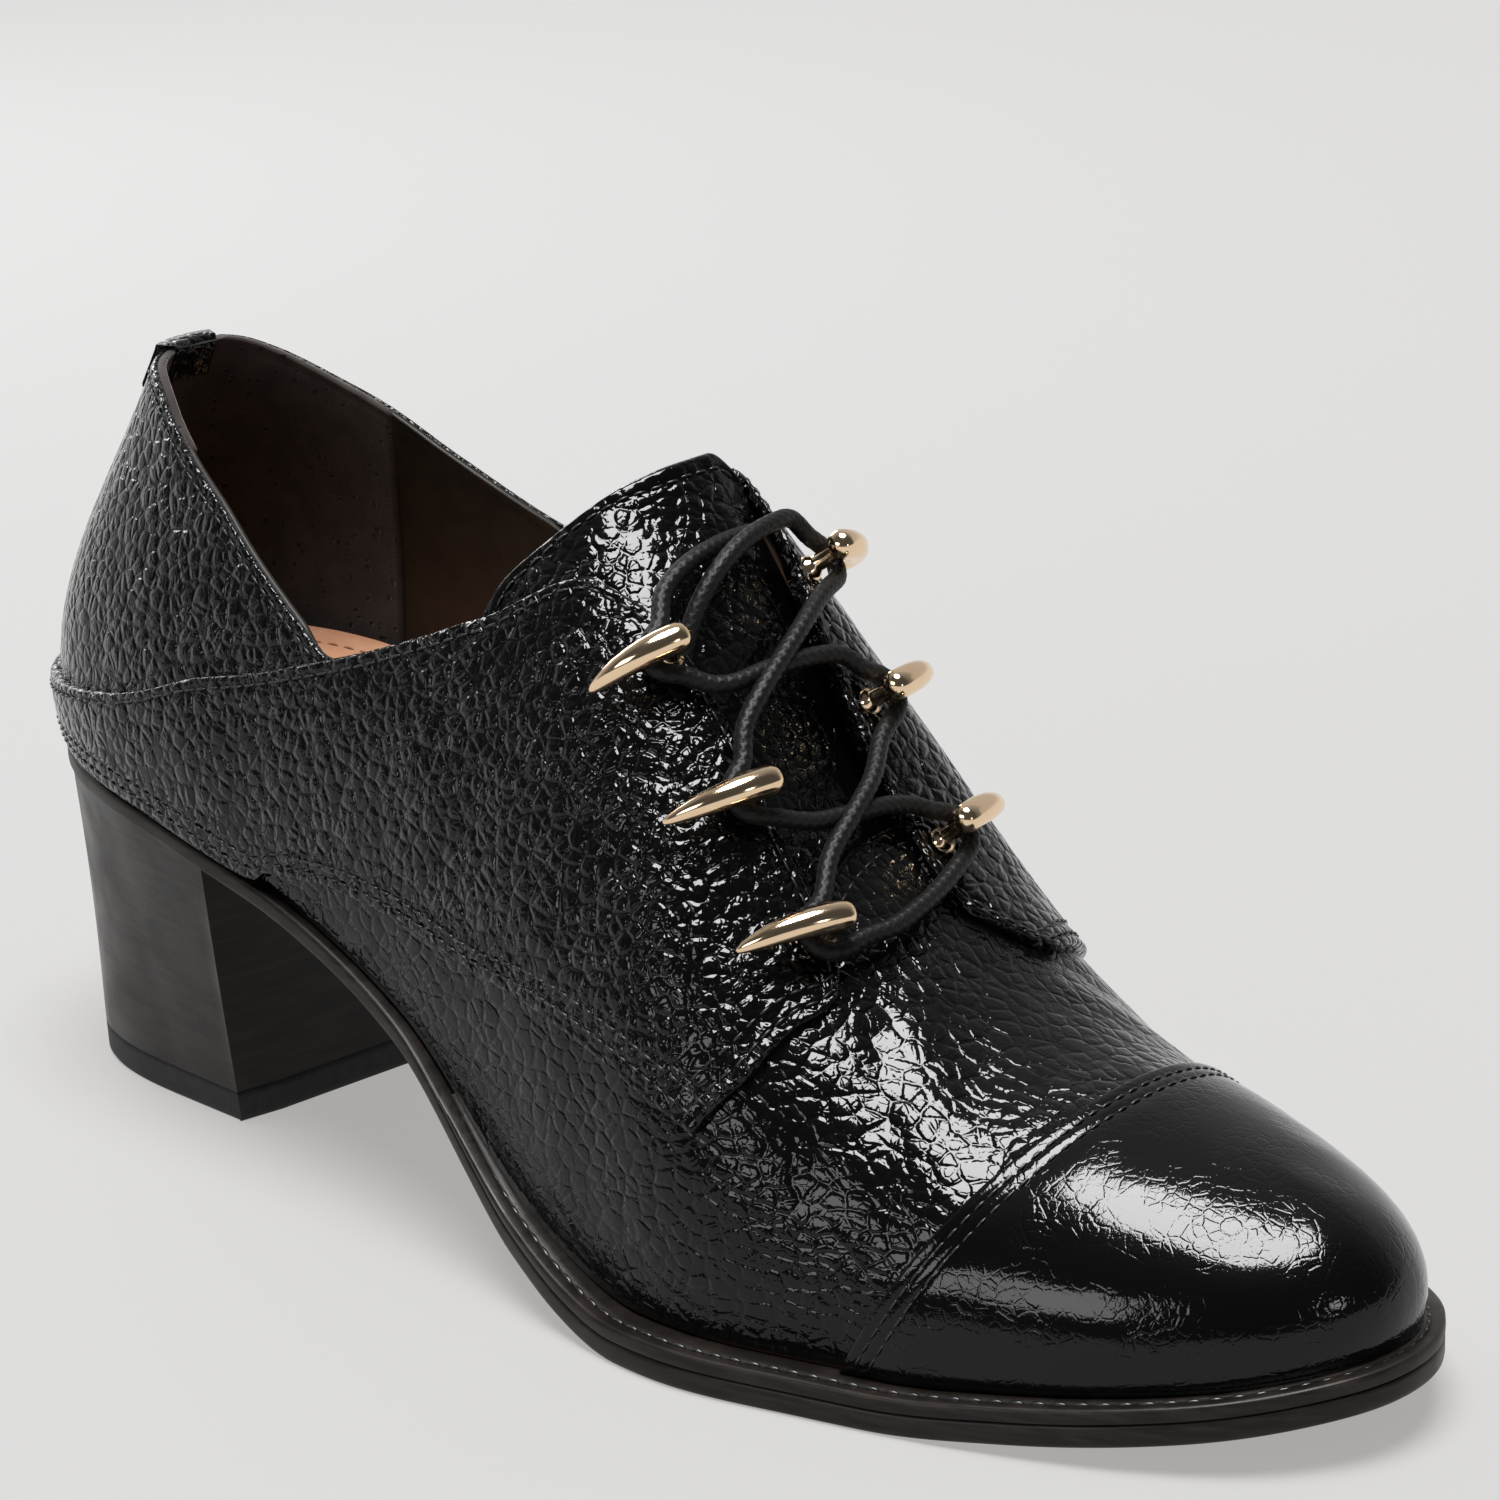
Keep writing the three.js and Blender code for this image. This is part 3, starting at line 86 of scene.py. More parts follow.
# Levels of the leather layers, as distances out from the last
UPPER_LEVEL = -0.8
LEATHER = 0.85
LINING_LEVEL = -1.7
INNER_LEVEL = -2.6
QUARTER_LEVEL = 0.9
CAP_LEVEL = 0.5
TONGUE_LEVEL = -3.8
TONGUE_THICK = 2.0

# Sections from heel to toe: the shares are of LENGTH, BALL_WIDTH, WELT_LEDGE and COLLAR_HEIGHT
SECTION_NAMES = (
    "along lateral medial inset topAlong ridge opening top "
    "bulgeLat bulgeMed rise reach spreadLat spreadMed drop"
).split()
SECTIONS = (
    (0.000, 0.000, 0.000, 0.14, 0.068, 0.047, 0.000, 1.00, 0.076, 0.076, 0.36, 0.50, 0.45, 0.45, 0.34),
    (0.0145, 0.129, 0.134, 0.14, 0.075, 0.047, 0.082, 1.00, 0.076, 0.076, 0.36, 0.50, 0.45, 0.45, 0.34),
    (0.056, 0.247, 0.256, 0.14, 0.100, 0.047, 0.162, 1.00, 0.071, 0.071, 0.36, 0.50, 0.45, 0.45, 0.34),
    (0.120, 0.329, 0.336, 0.14, 0.149, 0.047, 0.229, 0.985, 0.047, 0.047, 0.38, 0.45, 0.45, 0.45, 0.34),
    (0.201, 0.367, 0.355, 0.16, 0.209, 0.047, 0.265, 0.99, 0.035, 0.029, 0.40, 0.30, 0.45, 0.45, 0.32),
    (0.289, 0.379, 0.344, 0.18, 0.277, 0.047, 0.276, 1.03, 0.018, 0.012, 0.40, 0.15, 0.45, 0.45, 0.26),
    (0.382, 0.407, 0.320, 0.23, 0.345, 0.047, 0.224, 1.15, 0.006, 0.006, 0.42, 0.00, 0.50, 0.50, 0.16),
    (0.474, 0.466, 0.329, 0.50, 0.418, 0.047, 0.118, 1.34, 0.006, 0.006, 0.44, 0.00, 0.55, 0.52, 0.06),
    (0.562, 0.532, 0.372, 0.86, 0.490, 0.070, 0.023, 1.58, 0.012, 0.012, 0.46, 0.00, 0.55, 0.50, 0.00),
    (0.651, 0.560, 0.440, 1.00, 0.570, 0.047, 0.000, 1.40, 0.021, 0.016, 0.50, 0.00, 0.55, 0.48, 0.00),
    (0.739, 0.506, 0.464, 1.00, 0.651, 0.040, 0.000, 0.97, 0.028, 0.016, 0.52, 0.00, 0.56, 0.44, 0.00),
    (0.823, 0.435, 0.433, 0.95, 0.731, 0.031, 0.000, 0.714, 0.033, 0.019, 0.54, 0.10, 0.58, 0.46, 0.00),
    (0.900, 0.344, 0.353, 0.86, 0.811, 0.019, 0.000, 0.596, 0.035, 0.028, 0.55, 0.30, 0.60, 0.52, 0.00),
    (0.956, 0.240, 0.247, 0.77, 0.871, 0.009, 0.000, 0.512, 0.038, 0.035, 0.56, 0.50, 0.60, 0.56, 0.00),
    (0.990, 0.115, 0.120, 0.73, 0.912, 0.002, 0.000, 0.444, 0.038, 0.038, 0.58, 0.60, 0.60, 0.60, 0.00),
    (1.000, 0.000, 0.000, 0.73, 0.924, 0.000, 0.000, 0.424, 0.038, 0.038, 0.58, 0.60, 0.60, 0.60, 0.00),
)
LAST_STATION = len(SECTIONS) - 1
MIRRORED_AT_ENDS = ("lateral", "medial", "opening")
STATION_PITCH = LENGTH / 12.5
RIB_LENGTH = BALL_WIDTH

# Levels of the sole along the length: heel, toe, waist, sole and welt shares
SOLE_NAMES = "along heel toe waist sole welt".split()
SOLE_PROFILE = (
    (0.00, 1.000, 0.00, 1.0, 0.0, 0.0),
    (0.14, 0.955, 0.00, 1.0, 0.0, 0.0),
    (0.265, 0.842, 0.00, 1.0, 0.0, 0.0),
    (0.40, 0.590, 0.00, 0.7, 0.3, 0.2),
    (0.52, 0.150, 0.00, 0.0, 1.0, 0.75),
    (0.615, 0.000, 0.00, 0.0, 1.0, 1.0),
    (0.77, 0.000, 0.00, 0.0, 1.0, 1.0),
    (0.845, 0.000, 0.20, 0.0, 1.0, 1.0),
    (0.925, 0.000, 0.55, 0.0, 1.0, 1.0),
    (1.00, 0.000, 1.00, 0.0, 1.0, 1.0),
)
# The insole's thickness in the middle and at the rim, as shares of INSOLE_THICK
INSOLE_PROFILE = (
    (0.00, 0.95, 1.40), (0.25, 0.90, 1.30), (0.45, 0.70, 1.05), (0.60, 0.50, 0.60), (1.00, 0.40, 0.45),
)

# Seams and edges, as stations and shares of the way up
TOPLINE_LATERAL = (
    (0.00, 1.000), (1.60, 0.995), (2.40, 0.980), (2.96, 0.940), (3.46, 0.890), (4.06, 0.815), (4.62, 0.710),
    (5.12, 0.605), (5.47, 0.535), (6.27, 0.590), (7.17, 0.655), (7.85, 0.700),
)
TOPLINE_MEDIAL = (
    (0.00, 1.000), (1.10, 0.998), (1.90, 0.962), (2.60, 0.912), (3.31, 0.850), (4.00, 0.766), (4.60, 0.702),
    (5.10, 0.656), (5.45, 0.632), (6.30, 0.680), (7.20, 0.752), (8.05, 0.835),
)
NOTCH_ROW = 8
REAR_SEAM = ((0.0, 0.155), (1.2, 0.160), (2.1, 0.180), (3.06, 0.240), (3.61, 0.300), (4.26, 0.405), (5.07, 0.500))
WING_SEAM = (
    (4.62, 0.000), (4.97, 0.050), (5.47, 0.105), (5.77, 0.130), (6.27, 0.160), (6.77, 0.195), (7.32, 0.225),
    (7.83, 0.232), (8.38, 0.240), (8.78, 0.240), (9.18, 0.240),
)
FRONT_LATERAL = (
    (9.18, 0.24), (9.40, 0.31), (9.58, 0.37), (9.73, 0.44), (9.88, 0.51), (10.03, 0.57), (10.10, 0.62),
)
FRONT_MEDIAL = (
    (9.18, 0.24), (9.45, 0.30), (9.72, 0.38), (9.98, 0.47), (10.25, 0.58), (10.48, 0.69), (10.56, 0.77),
)
FACING_LATERAL = (
    (7.85, 0.700), (8.10, 0.712), (8.33, 0.730), (8.60, 0.750), (8.90, 0.755), (9.28, 0.748), (9.60, 0.730),
    (9.90, 0.708), (10.06, 0.670), (10.10, 0.620),
)
FACING_MEDIAL = (
    (8.05, 0.835), (8.40, 0.845), (8.70, 0.885), (9.00, 0.930), (9.40, 0.955), (9.80, 0.960), (10.10, 0.965),
    (10.32, 0.955), (10.46, 0.900), (10.56, 0.770),
)
THROAT_END = 9.86
CAP_SEAM_ALONG = 0.7335
CAP_SEAM_LEAN = 0.53
TONGUE_TOP = (
    (-0.40, 6.72), (-0.32, 6.84), (-0.24, 7.18), (-0.16, 7.55), (-0.08, 7.90), (0.0, 8.00), (0.03, 7.98),
    (0.06, 7.97), (0.09, 7.98), (0.12, 8.00), (0.15, 8.08),
)
TONGUE_END = 10.75
TONGUE_END_REACH = (-0.30, 0.24)
TONGUE_SPRING = 4.0

# Hooks: leg's station and share up, then the horn tip's
HOOKS = {
    "lateral": ((8.60, 0.715, 8.15, 0.580), (9.29, 0.705, 8.84, 0.540), (9.92, 0.680, 9.42, 0.500)),
    "medial": ((8.66, 0.835, 8.27, 0.660), (9.33, 0.880, 8.96, 0.660), (9.98, 0.880, 9.62, 0.650)),
}


class Side(Enum):
    """The two sides of the shoe, by the sign of y."""

    LATERAL = -1
    MEDIAL = 1


def catmull(values: Array, station: Array, mirrored: bool) -> Array:
    """A column of the sections at any station, smooth through its rows.

    Args:
        values: the column.
        station: stations wanted.
        mirrored: whether the column changes sign past the heel and toe.

    Returns:
        The column's value at each station.
    """
    sign = -1.0 if mirrored else 1.0
    padded = np.concatenate([[sign * values[1]], values, [sign * values[-2]]])
    u = np.clip(station, 0, LAST_STATION)
    i = np.minimum(np.floor(u).astype(int), LAST_STATION - 1)
    f = u - i
    before, start, end, after = (padded[i + k] for k in range(4))
    square = 2 * before - 5 * start + 4 * end - after
    cube = 3 * start - before - 3 * end + after
    return 0.5 * (2 * start + (end - before) * f + square * f**2 + cube * f**3)


def monotone(rows: Array, along: Array, column: int) -> Array:
    """A profile column at a share of the length, with no overshoot between its rows.

    Args:
        rows: the table, its first column the share of the length.
        along: shares wanted.
        column: the column wanted.

    Returns:
        The column's value at each share.
    """
    xs = rows[:, 0]
    ys = rows[:, column]
    slope = np.diff(ys) / np.diff(xs)
    tangent = np.zeros(len(xs))
    tangent[0] = slope[0]
    tangent[-1] = slope[-1]
    a, b = slope[:-1], slope[1:]
    safe = np.where(a * b > 0, a + b, 1.0)
    tangent[1:-1] = np.where(a * b > 0, 2 * a * b / safe, 0.0)
    s = np.clip(along, xs[0], xs[-1])
    i = np.clip(np.searchsorted(xs, s, side="right") - 1, 0, len(xs) - 2)
    step = xs[i + 1] - xs[i]
    t = (s - xs[i]) / step
    h1 = t * t * (3 - 2 * t)
    h2 = t * (1 - t) ** 2
    h3 = t * t * (t - 1)
    return ys[i] * (1 - h1) + ys[i + 1] * h1 + step * (h2 * tangent[i] + h3 * tangent[i + 1])


class Last:
    """The shape that the shoe is made on, as functions of a station and a place around it."""

    def __init__(self) -> None:
        """Keeps the tables as named columns."""
        table = np.array(SECTIONS)
        self.columns = {name: table[:, i] for i, name in enumerate(SECTION_NAMES)}
        self.sole = np.array(SOLE_PROFILE)
        self.insole = np.array(INSOLE_PROFILE)

    def section(self, name: str, station: Array) -> Array:
        """A section column at a station."""
        return catmull(self.columns[name], np.asarray(station, float), name in MIRRORED_AT_ENDS)

    def sole_level(self, name: str, x: Array) -> Array:
        """A sole profile column at a length x."""
        return monotone(self.sole, np.asarray(x, float) / LENGTH, SOLE_NAMES.index(name))

    def sole_bottom(self, x: Array) -> Array:
        """Height of the sole's underside."""
        return self.sole_level("heel", x) * HEEL_HEIGHT + self.sole_level("toe", x) * TOE_SPRING

    def sole_top(self, x: Array) -> Array:
        """Height of the sole's upper face."""
        thick = self.sole_level("waist", x) * WAIST_THICK + self.sole_level("sole", x) * SOLE_THICK
        return self.sole_bottom(x) + thick

    def welt_top(self, x: Array) -> Array:
        """Height of the welt's upper face."""
        return self.sole_top(x) + self.sole_level("welt", x) * WELT_THICK

    def outline(self, side: int, station: Array, out: Array | float = 0.0) -> tuple[Array, Array]:
        """The sole's plan outline on one side.

        Args:
            side: -1 lateral, 1 medial.
            station: stations wanted.
            out: distance moved out.

        Returns:
            Points and outward directions, both of x and y.
        """
        width = "lateral" if side < 0 else "medial"
        u = np.asarray(station, float)

        def place(s: Array) -> Array:
            """Plan points at stations."""
            return np.stack([self.section("along", s) * LENGTH, side * self.section(width, s) * BALL_WIDTH], -1)

        way = place(np.minimum(u + 0.01, LAST_STATION)) - place(np.maximum(u - 0.01, 0))
        way /= np.linalg.norm(way, axis=-1, keepdims=True)
        normal = np.stack([-side * way[..., 1], side * way[..., 0]], -1)
        normal[u <= 0] = (-1.0, 0.0)
        normal[u >= LAST_STATION] = (1.0, 0.0)
        return place(u) + normal * np.asarray(out)[..., None], normal

    def rib(self, side: int, station: Array, out: Array | float) -> tuple[Array, Array, Array, Array]:
        """The four control points of the rib at each station, moved out by a distance."""
        u = np.asarray(station, float)
        out = np.broadcast_to(np.asarray(out, float), u.shape)
        inset = self.section("inset", u) * WELT_LEDGE
        foot, normal = self.outline(side, u, out - inset)
        feather = np.concatenate([foot, (self.welt_top(foot[..., 0]) + 0.5)[..., None]], -1)

        def height_at(s: Array) -> Array:
            """Height of the last's crest at stations."""
            return self.section("top", s) * COLLAR_HEIGHT + self.sole_top(self.section("topAlong", s) * LENGTH)

        ahead = np.minimum(u + 0.02, LAST_STATION)
        behind = np.maximum(u - 0.02, 0)
        run = (self.section("topAlong", ahead) - self.section("topAlong", behind)) * LENGTH
        slope = (height_at(ahead) - height_at(behind)) / run
        closed = np.clip(u - 7, 0, 1)
        tilt = np.hypot(1, slope)
        crest = np.stack([-slope / tilt, np.zeros_like(u), 1 / tilt], -1)
        sideways = np.concatenate([normal, np.zeros_like(u)[..., None]], -1)
        opening = np.maximum(self.section("opening", u), 0) * BALL_WIDTH
        ridge = self.section("ridge", u) * BALL_WIDTH
        top = np.stack([self.section("topAlong", u) * LENGTH, ridge + side * opening, height_at(u)], -1)
        top = top + crest * (out * closed)[..., None] + sideways * (out * (1 - closed))[..., None]
        height = top[..., 2] - feather[..., 2]
        bulge = self.section("bulgeLat" if side < 0 else "bulgeMed", u) * BALL_WIDTH
        low = feather + sideways * bulge[..., None]
        low[..., 2] += self.section("rise", u) * height
        spread = self.section("spreadLat" if side < 0 else "spreadMed", u)
        reach = self.section("reach", u) * (feather[..., 0] - top[..., 0])
        lean = spread * (feather[..., 1] - top[..., 1])
        fall = slope * closed * reach - self.section("drop", u) * height
        high = top + np.stack([reach, lean, fall], -1)
        return feather, low, high, top

    def at(self, station: Array, across: Array, out: Array | float = 0.0) -> Array:
        """Points of the last in millimetres.

        Args:
            station: stations, 0 at the heel and 15 at the toe.
            across: -1 at the lateral foot line, 0 at the ridge, 1 at the medial foot line.
            out: distance moved out.

        Returns:
            Points in the shoe's own axes.
        """
        station, across, out = np.broadcast_arrays(
            np.asarray(station, float), np.asarray(across, float), np.asarray(out, float)
        )
        result = np.zeros(station.shape + (3,))
        for side in (-1, 1):
            mine = (across < 0) if side < 0 else (across >= 0)
            if not mine.any():
                continue
            a, b, c, d = self.rib(side, station[mine], out[mine])
            up = (1 - np.abs(across[mine]))[..., None]
            v = 1 - up
            result[mine] = a * v**3 + b * 3 * up * v**2 + c * 3 * up**2 * v + d * up**3
        return result

    def normal(self, station: Array, across: Array) -> Array:
        """Outward directions of the last's surface."""
        station = np.asarray(station, float)
        across = np.asarray(across, float)
        step = 0.02
        ahead = np.minimum(station + step, LAST_STATION)
        behind = np.maximum(station - step, 0)
        sideways = np.where(across < 0, -1.0, 1.0)
        edge = np.clip(np.abs(across) + step, 0, 1) * sideways
        inner = np.clip(np.abs(across) - step, 0, 1) * sideways
        along = self.at(ahead, across) - self.at(behind, across)
        round_ = (self.at(station, edge) - self.at(station, inner)) * sideways[..., None]
        normal = np.cross(along, round_)
        return normal / np.maximum(np.linalg.norm(normal, axis=-1, keepdims=True), 1e-9)


LAST = Last()


def to_row(points: Array) -> Array:
    """Millimetres in the shoe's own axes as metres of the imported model."""
    widest = [max(row[i] for row in SECTIONS) * BALL_WIDTH for i in (1, 2)]
    shift = np.array([(BACK_OVERHANG - LENGTH) / 2, (widest[0] - widest[1]) / 2, 0.0])
    return (np.asarray(points, float) + shift) * MM


class Line:
    """A smooth line on the last, through rows of station and place around."""

    def __init__(self, rows: Iterable[Sequence[float]]) -> None:
        """Measures the line with stations and shares turned to millimetres."""
        self.rows = np.array([(float(a), float(b)) for a, b in rows])
        fine = self._spline(np.linspace(0, len(self.rows) - 1, 40 * len(self.rows)))
        steps = np.diff(fine * (STATION_PITCH, RIB_LENGTH), axis=0)
        self.length = np.concatenate([[0], np.cumsum(np.linalg.norm(steps, axis=1))])
        self.fine = fine

    def _spline(self, t: Array) -> Array:
        """Points at row numbers t."""
        rows = self.rows
        ends = np.vstack([2 * rows[0] - rows[1], rows, 2 * rows[-1] - rows[-2]])
        i = np.minimum(np.floor(t).astype(int), len(rows) - 2)
        f = (t - i)[:, None]
        a, b, c, d = (ends[i + k] for k in range(4))
        return 0.5 * (2 * b + (c - a) * f + (2 * a - 5 * b + 4 * c - d) * f**2 + (3 * b - a - 3 * c + d) * f**3)

    def __call__(self, share: Array) -> Array:
        """Points at shares of the line's length."""
        want = np.clip(share, 0, 1) * self.length[-1]
        return np.stack([np.interp(want, self.length, self.fine[:, k]) for k in (0, 1)], -1)


def on_side(side: Side, rows: Iterable[Sequence[float]]) -> list[tuple[float, float]]:
    """Rows of station and share up, as stations and places around on one side."""
    return [(at, side.value * (1 - up)) for at, up in rows]


@dataclass(frozen=True)
class Border:
    """How a sheet ends: its turned edge and the stitch rows beside it, in millimetres."""

    radius: float = 0.0
    rows: tuple[float, ...] = ()
    groove: float = 0.16

    def steps(self) -> list[float]:
        """Distances from the edge where the mesh has lines."""
        if not self.radius:
            return [0.0]
        marks = {0.0, 0.06 * self.radius, 0.22 * self.radius, 0.5 * self.radius, self.radius, 1.7 * self.radius}
        for row in self.rows:
            marks |= {row - 0.7, row - 0.35, row, row + 0.35, row + 0.7}
        return sorted(marks)

    def drop(self, distance: Array) -> Array:
        """How far the face falls below its level at a distance from the edge."""
        fall = np.zeros_like(distance)
        if self.radius:
            t = np.clip(1 - distance / self.radius, 0, 1)
            fall += self.radius * (1 - np.sqrt(1 - np.minimum(t, 0.999) ** 2)) * 0.9
        for row in self.rows:
            fall += self.groove * np.exp(-(((distance - row) / 0.45) ** 2))
        return fall


def spaced(length: Array, first: Border, last: Border, pitch: float) -> Array:
    """Shares of lines that hug both borders and are even between them.

    Args:
        length: length of each line, in millimetres.
        first: border at share 0.
        last: border at share 1.
        pitch: even spacing between, in millimetres.

    Returns:
        An array of shares with one row per line.
    """
    near, far = first.steps(), last.steps()
    middle = max(int(round((float(np.max(length)) - near[-1] - far[-1]) / pitch)), 2)
    shares = []
    for total in np.atleast_1d(length):
        squeeze = min(1.0, 0.9 * total / (near[-1] + far[-1] + 1e-6))
        a = [x * squeeze / total for x in near]
        b = [1 - x * squeeze / total for x in reversed(far)]
        between = np.linspace(a[-1], b[0], middle + 1)[1:-1]
        shares.append(a + list(between) + b)
    return np.array(shares)


def run_along(points: Array) -> Array:
    """Distance gone from the first row of points.

    Args:
        points: a line of points, or a grid with its rows first.

    Returns:
        The distance at each row, for each column of a grid.
    """
    steps = np.linalg.norm(np.diff(points, axis=0), axis=-1)
    return np.concatenate([np.zeros((1,) + steps.shape[1:]), np.cumsum(steps, axis=0)])


def ring_faces(rings: int, count: int, first: int = 0, inward: bool = False) -> list[tuple[int, ...]]:
    """Quads between closed rings of points.

    Args:
        rings: how many rings.
        count: points in a ring.
        first: number of the first point.
        inward: whether the quads turn the other way.

    Returns:
        The quads.
    """
    faces = []
    for i in range(rings - 1):
        for j in range(count):
            k = (j + 1) % count
            a, b = first + i * count + j, first + i * count + k
            faces.append((a, a + count, b + count, b) if inward else (a, b, b + count, a + count))
    return faces


@dataclass
class Patch:
    """A four-sided leather panel on the last, between a low, a high, a back and a front line."""

    low: Callable[[Array], Array]
    high: Callable[[Array], Array]
    back: Callable[[Array], Array]
    front: Callable[[Array], Array]
    level: float
    under: float
    low_edge: Border = Border()
    high_edge: Border = Border()
    back_edge: Border = Border()
    front_edge: Border = Border()
    pitch: float = 1.3

    def spot(self, s: Array, t: Array) -> Array:
        """Station and place around at shares s along and t up, by blending the four lines."""
        s, t = np.broadcast_arrays(np.asarray(s, float), np.asarray(t, float))
        shape = s.shape
        s, t = s.ravel(), t.ravel()
        low, high, back, front = self.low(s), self.high(s), self.back(t), self.front(t)
        ends = np.array([0.0, 1.0])
        c00, c10 = self.low(ends)
        c01, c11 = self.high(ends)
        s1, t1 = s[:, None], t[:, None]
        corners = (1 - s1) * (1 - t1) * c00 + s1 * (1 - t1) * c10 + (1 - s1) * t1 * c01 + s1 * t1 * c11
        return ((1 - t1) * low + t1 * high + (1 - s1) * back + s1 * front - corners).reshape(shape + (2,))

    def surface(self, s: Array, t: Array, out: Array | float) -> Array:
        """Points at shares s and t, a distance out from the last."""
        spot = self.spot(s, t)
        return LAST.at(spot[..., 0], spot[..., 1], out)

    def lengths(self, count: int, up: bool) -> tuple[Array, Array]:
        """Lengths of the panel's lines.

        Args:
            count: how many lines.
            up: whether the lines run up or along.

        Returns:
            The shares of the lines and their lengths.
        """
        lines = np.linspace(0, 1, count)
        fine = np.linspace(0, 1, 80)
        grid = np.meshgrid(lines, fine, indexing="ij")
        points = self.surface(grid[0], grid[1], self.level) if up else self.surface(grid[1], grid[0], self.level)
        return lines, np.linalg.norm(np.diff(points, axis=1), axis=-1).sum(axis=1)

    def grid(self) -> tuple[Array, Array]:
        """Shares s and t of the panel's mesh lines."""
        lines, along = self.lengths(60, up=False)
        _, up = self.lengths(60, up=True)
        s_nominal = spaced(np.array([along.mean()]), self.back_edge, self.front_edge, self.pitch)[0]
        t_nominal = spaced(np.array([up.mean()]), self.low_edge, self.high_edge, self.pitch)[0]
        s_rows = spaced(np.interp(t_nominal, lines, along), self.back_edge, self.front_edge, self.pitch)
        t_rows = spaced(np.interp(s_nominal, lines, up), self.low_edge, self.high_edge, self.pitch)
        return self.resampled(s_rows, len(s_nominal)).T, self.resampled(t_rows, len(t_nominal))

    @staticmethod
    def resampled(rows: Array, count: int) -> Array:
        """Rows of shares stretched to a count."""
        return np.array([np.interp(np.linspace(0, 1, count), np.linspace(0, 1, len(r)), r) for r in rows])

    def faces(self) -> tuple[Array, Array]:
        """Grids of points of the panel's outer and inner face."""
        s, t = self.grid()
        flat = self.surface(s, t, self.level)
        from_back = run_along(flat)
        from_low = run_along(flat.swapaxes(0, 1)).T
        drops = [
            self.back_edge.drop(from_back),
            self.front_edge.drop(from_back[-1:] - from_back),
            self.low_edge.drop(from_low),
            self.high_edge.drop(from_low[:, -1:] - from_low),
        ]
        fall = np.minimum(sum(drops), self.level - self.under - 0.05)
        return self.surface(s, t, self.level - fall), self.surface(s, t, self.under)

    def seam(self, border: str, distance: float) -> Array:
        """Stations and places around of a line at a distance from one border.

        Args:
            border: low, high, back or front.
            distance: distance from it in millimetres.

        Returns:
            Rows of station and place around, from one end of the border to the other.
        """
        share = np.linspace(0, 1, 400)
        lines, length = self.lengths(60, up=border in ("low", "high"))
        step = distance / np.interp(share, lines, length)
        if border in ("high", "front"):
            step = 1 - step
        return self.spot(share, step) if border in ("low", "high") else self.spot(step, share)


class Shell:
    """Collects grids of outer and inner points and turns them into one closed mesh."""

    def __init__(self) -> None:
        """Starts empty."""
        self.outer: list[Array] = []
        self.inner: list[Array] = []
        self.quads: list[Array] = []
        self.count = 0

    def add(self, outer: Array, inner: Array) -> None:
        """Adds a grid whose rows run back to front and columns turn from lateral to medial."""
        rows, cols = outer.shape[:2]
        ids = np.arange(rows * cols).reshape(rows, cols) + self.count
        quads = np.stack([ids[:-1, :-1], ids[1:, :-1], ids[1:, 1:], ids[:-1, 1:]], -1).reshape(-1, 4)
        self.outer.append(outer.reshape(-1, 3))
        self.inner.append(inner.reshape(-1, 3))
        self.quads.append(quads)
        self.count += rows * cols

    def build(self, name: str) -> bpy.types.Object:
        """Joins the grids where they touch, closes every open edge and makes the object."""
        outer = np.concatenate(self.outer)
        inner = np.concatenate(self.inner)
        quads = np.concatenate(self.quads)
        _, first, same = np.unique(np.round(outer, 3), axis=0, return_index=True, return_inverse=True)
        same = same.ravel()
        outer, inner = outer[first], inner[first]
        faces: list[tuple[int, ...]] = []
        seen: dict[tuple[int, int], int] = {}
        for quad in same[quads]:
            ring = [int(a) for k, a in enumerate(quad) if a != quad[k - 1]]
            if len(set(ring)) != len(ring) or len(ring) < 3:
                continue
            faces.append(tuple(ring))
            for a, b in zip(ring, ring[1:] + ring[:1]):
                seen[(a, b)] = seen.get((a, b), 0) + 1
        total = len(outer)
        back = [tuple(total + a for a in reversed(ring)) for ring in faces]
        walls = [(b, a, total + a, total + b) for (a, b) in seen if (b, a) not in seen]
        return make_object(name, np.concatenate([outer, inner]), faces + back + walls)


def make_object(name: str, points: Array, faces: Sequence[Sequence[int]]) -> bpy.types.Object:
    """A smooth mesh object from millimetre points.

    Args:
        name: the object's name.
        points: points in the shoe's own axes.
        faces: rings of point numbers.

    Returns:
        The object, linked to the scene.
    """
    mesh = bpy.data.meshes.new(name)
    mesh.from_pydata([tuple(p) for p in to_row(points)], [], [tuple(f) for f in faces])
    mesh.validate()
    mesh.shade_smooth()
    piece = bpy.data.objects.new(name, mesh)
    bpy.context.scene.collection.objects.link(piece)
    return piece


def sharpen(piece: bpy.types.Object, degrees: float) -> None:
    """Keeps edges sharper than an angle crisp in the shading."""
    piece.data.set_sharp_from_angle(angle=math.radians(degrees))


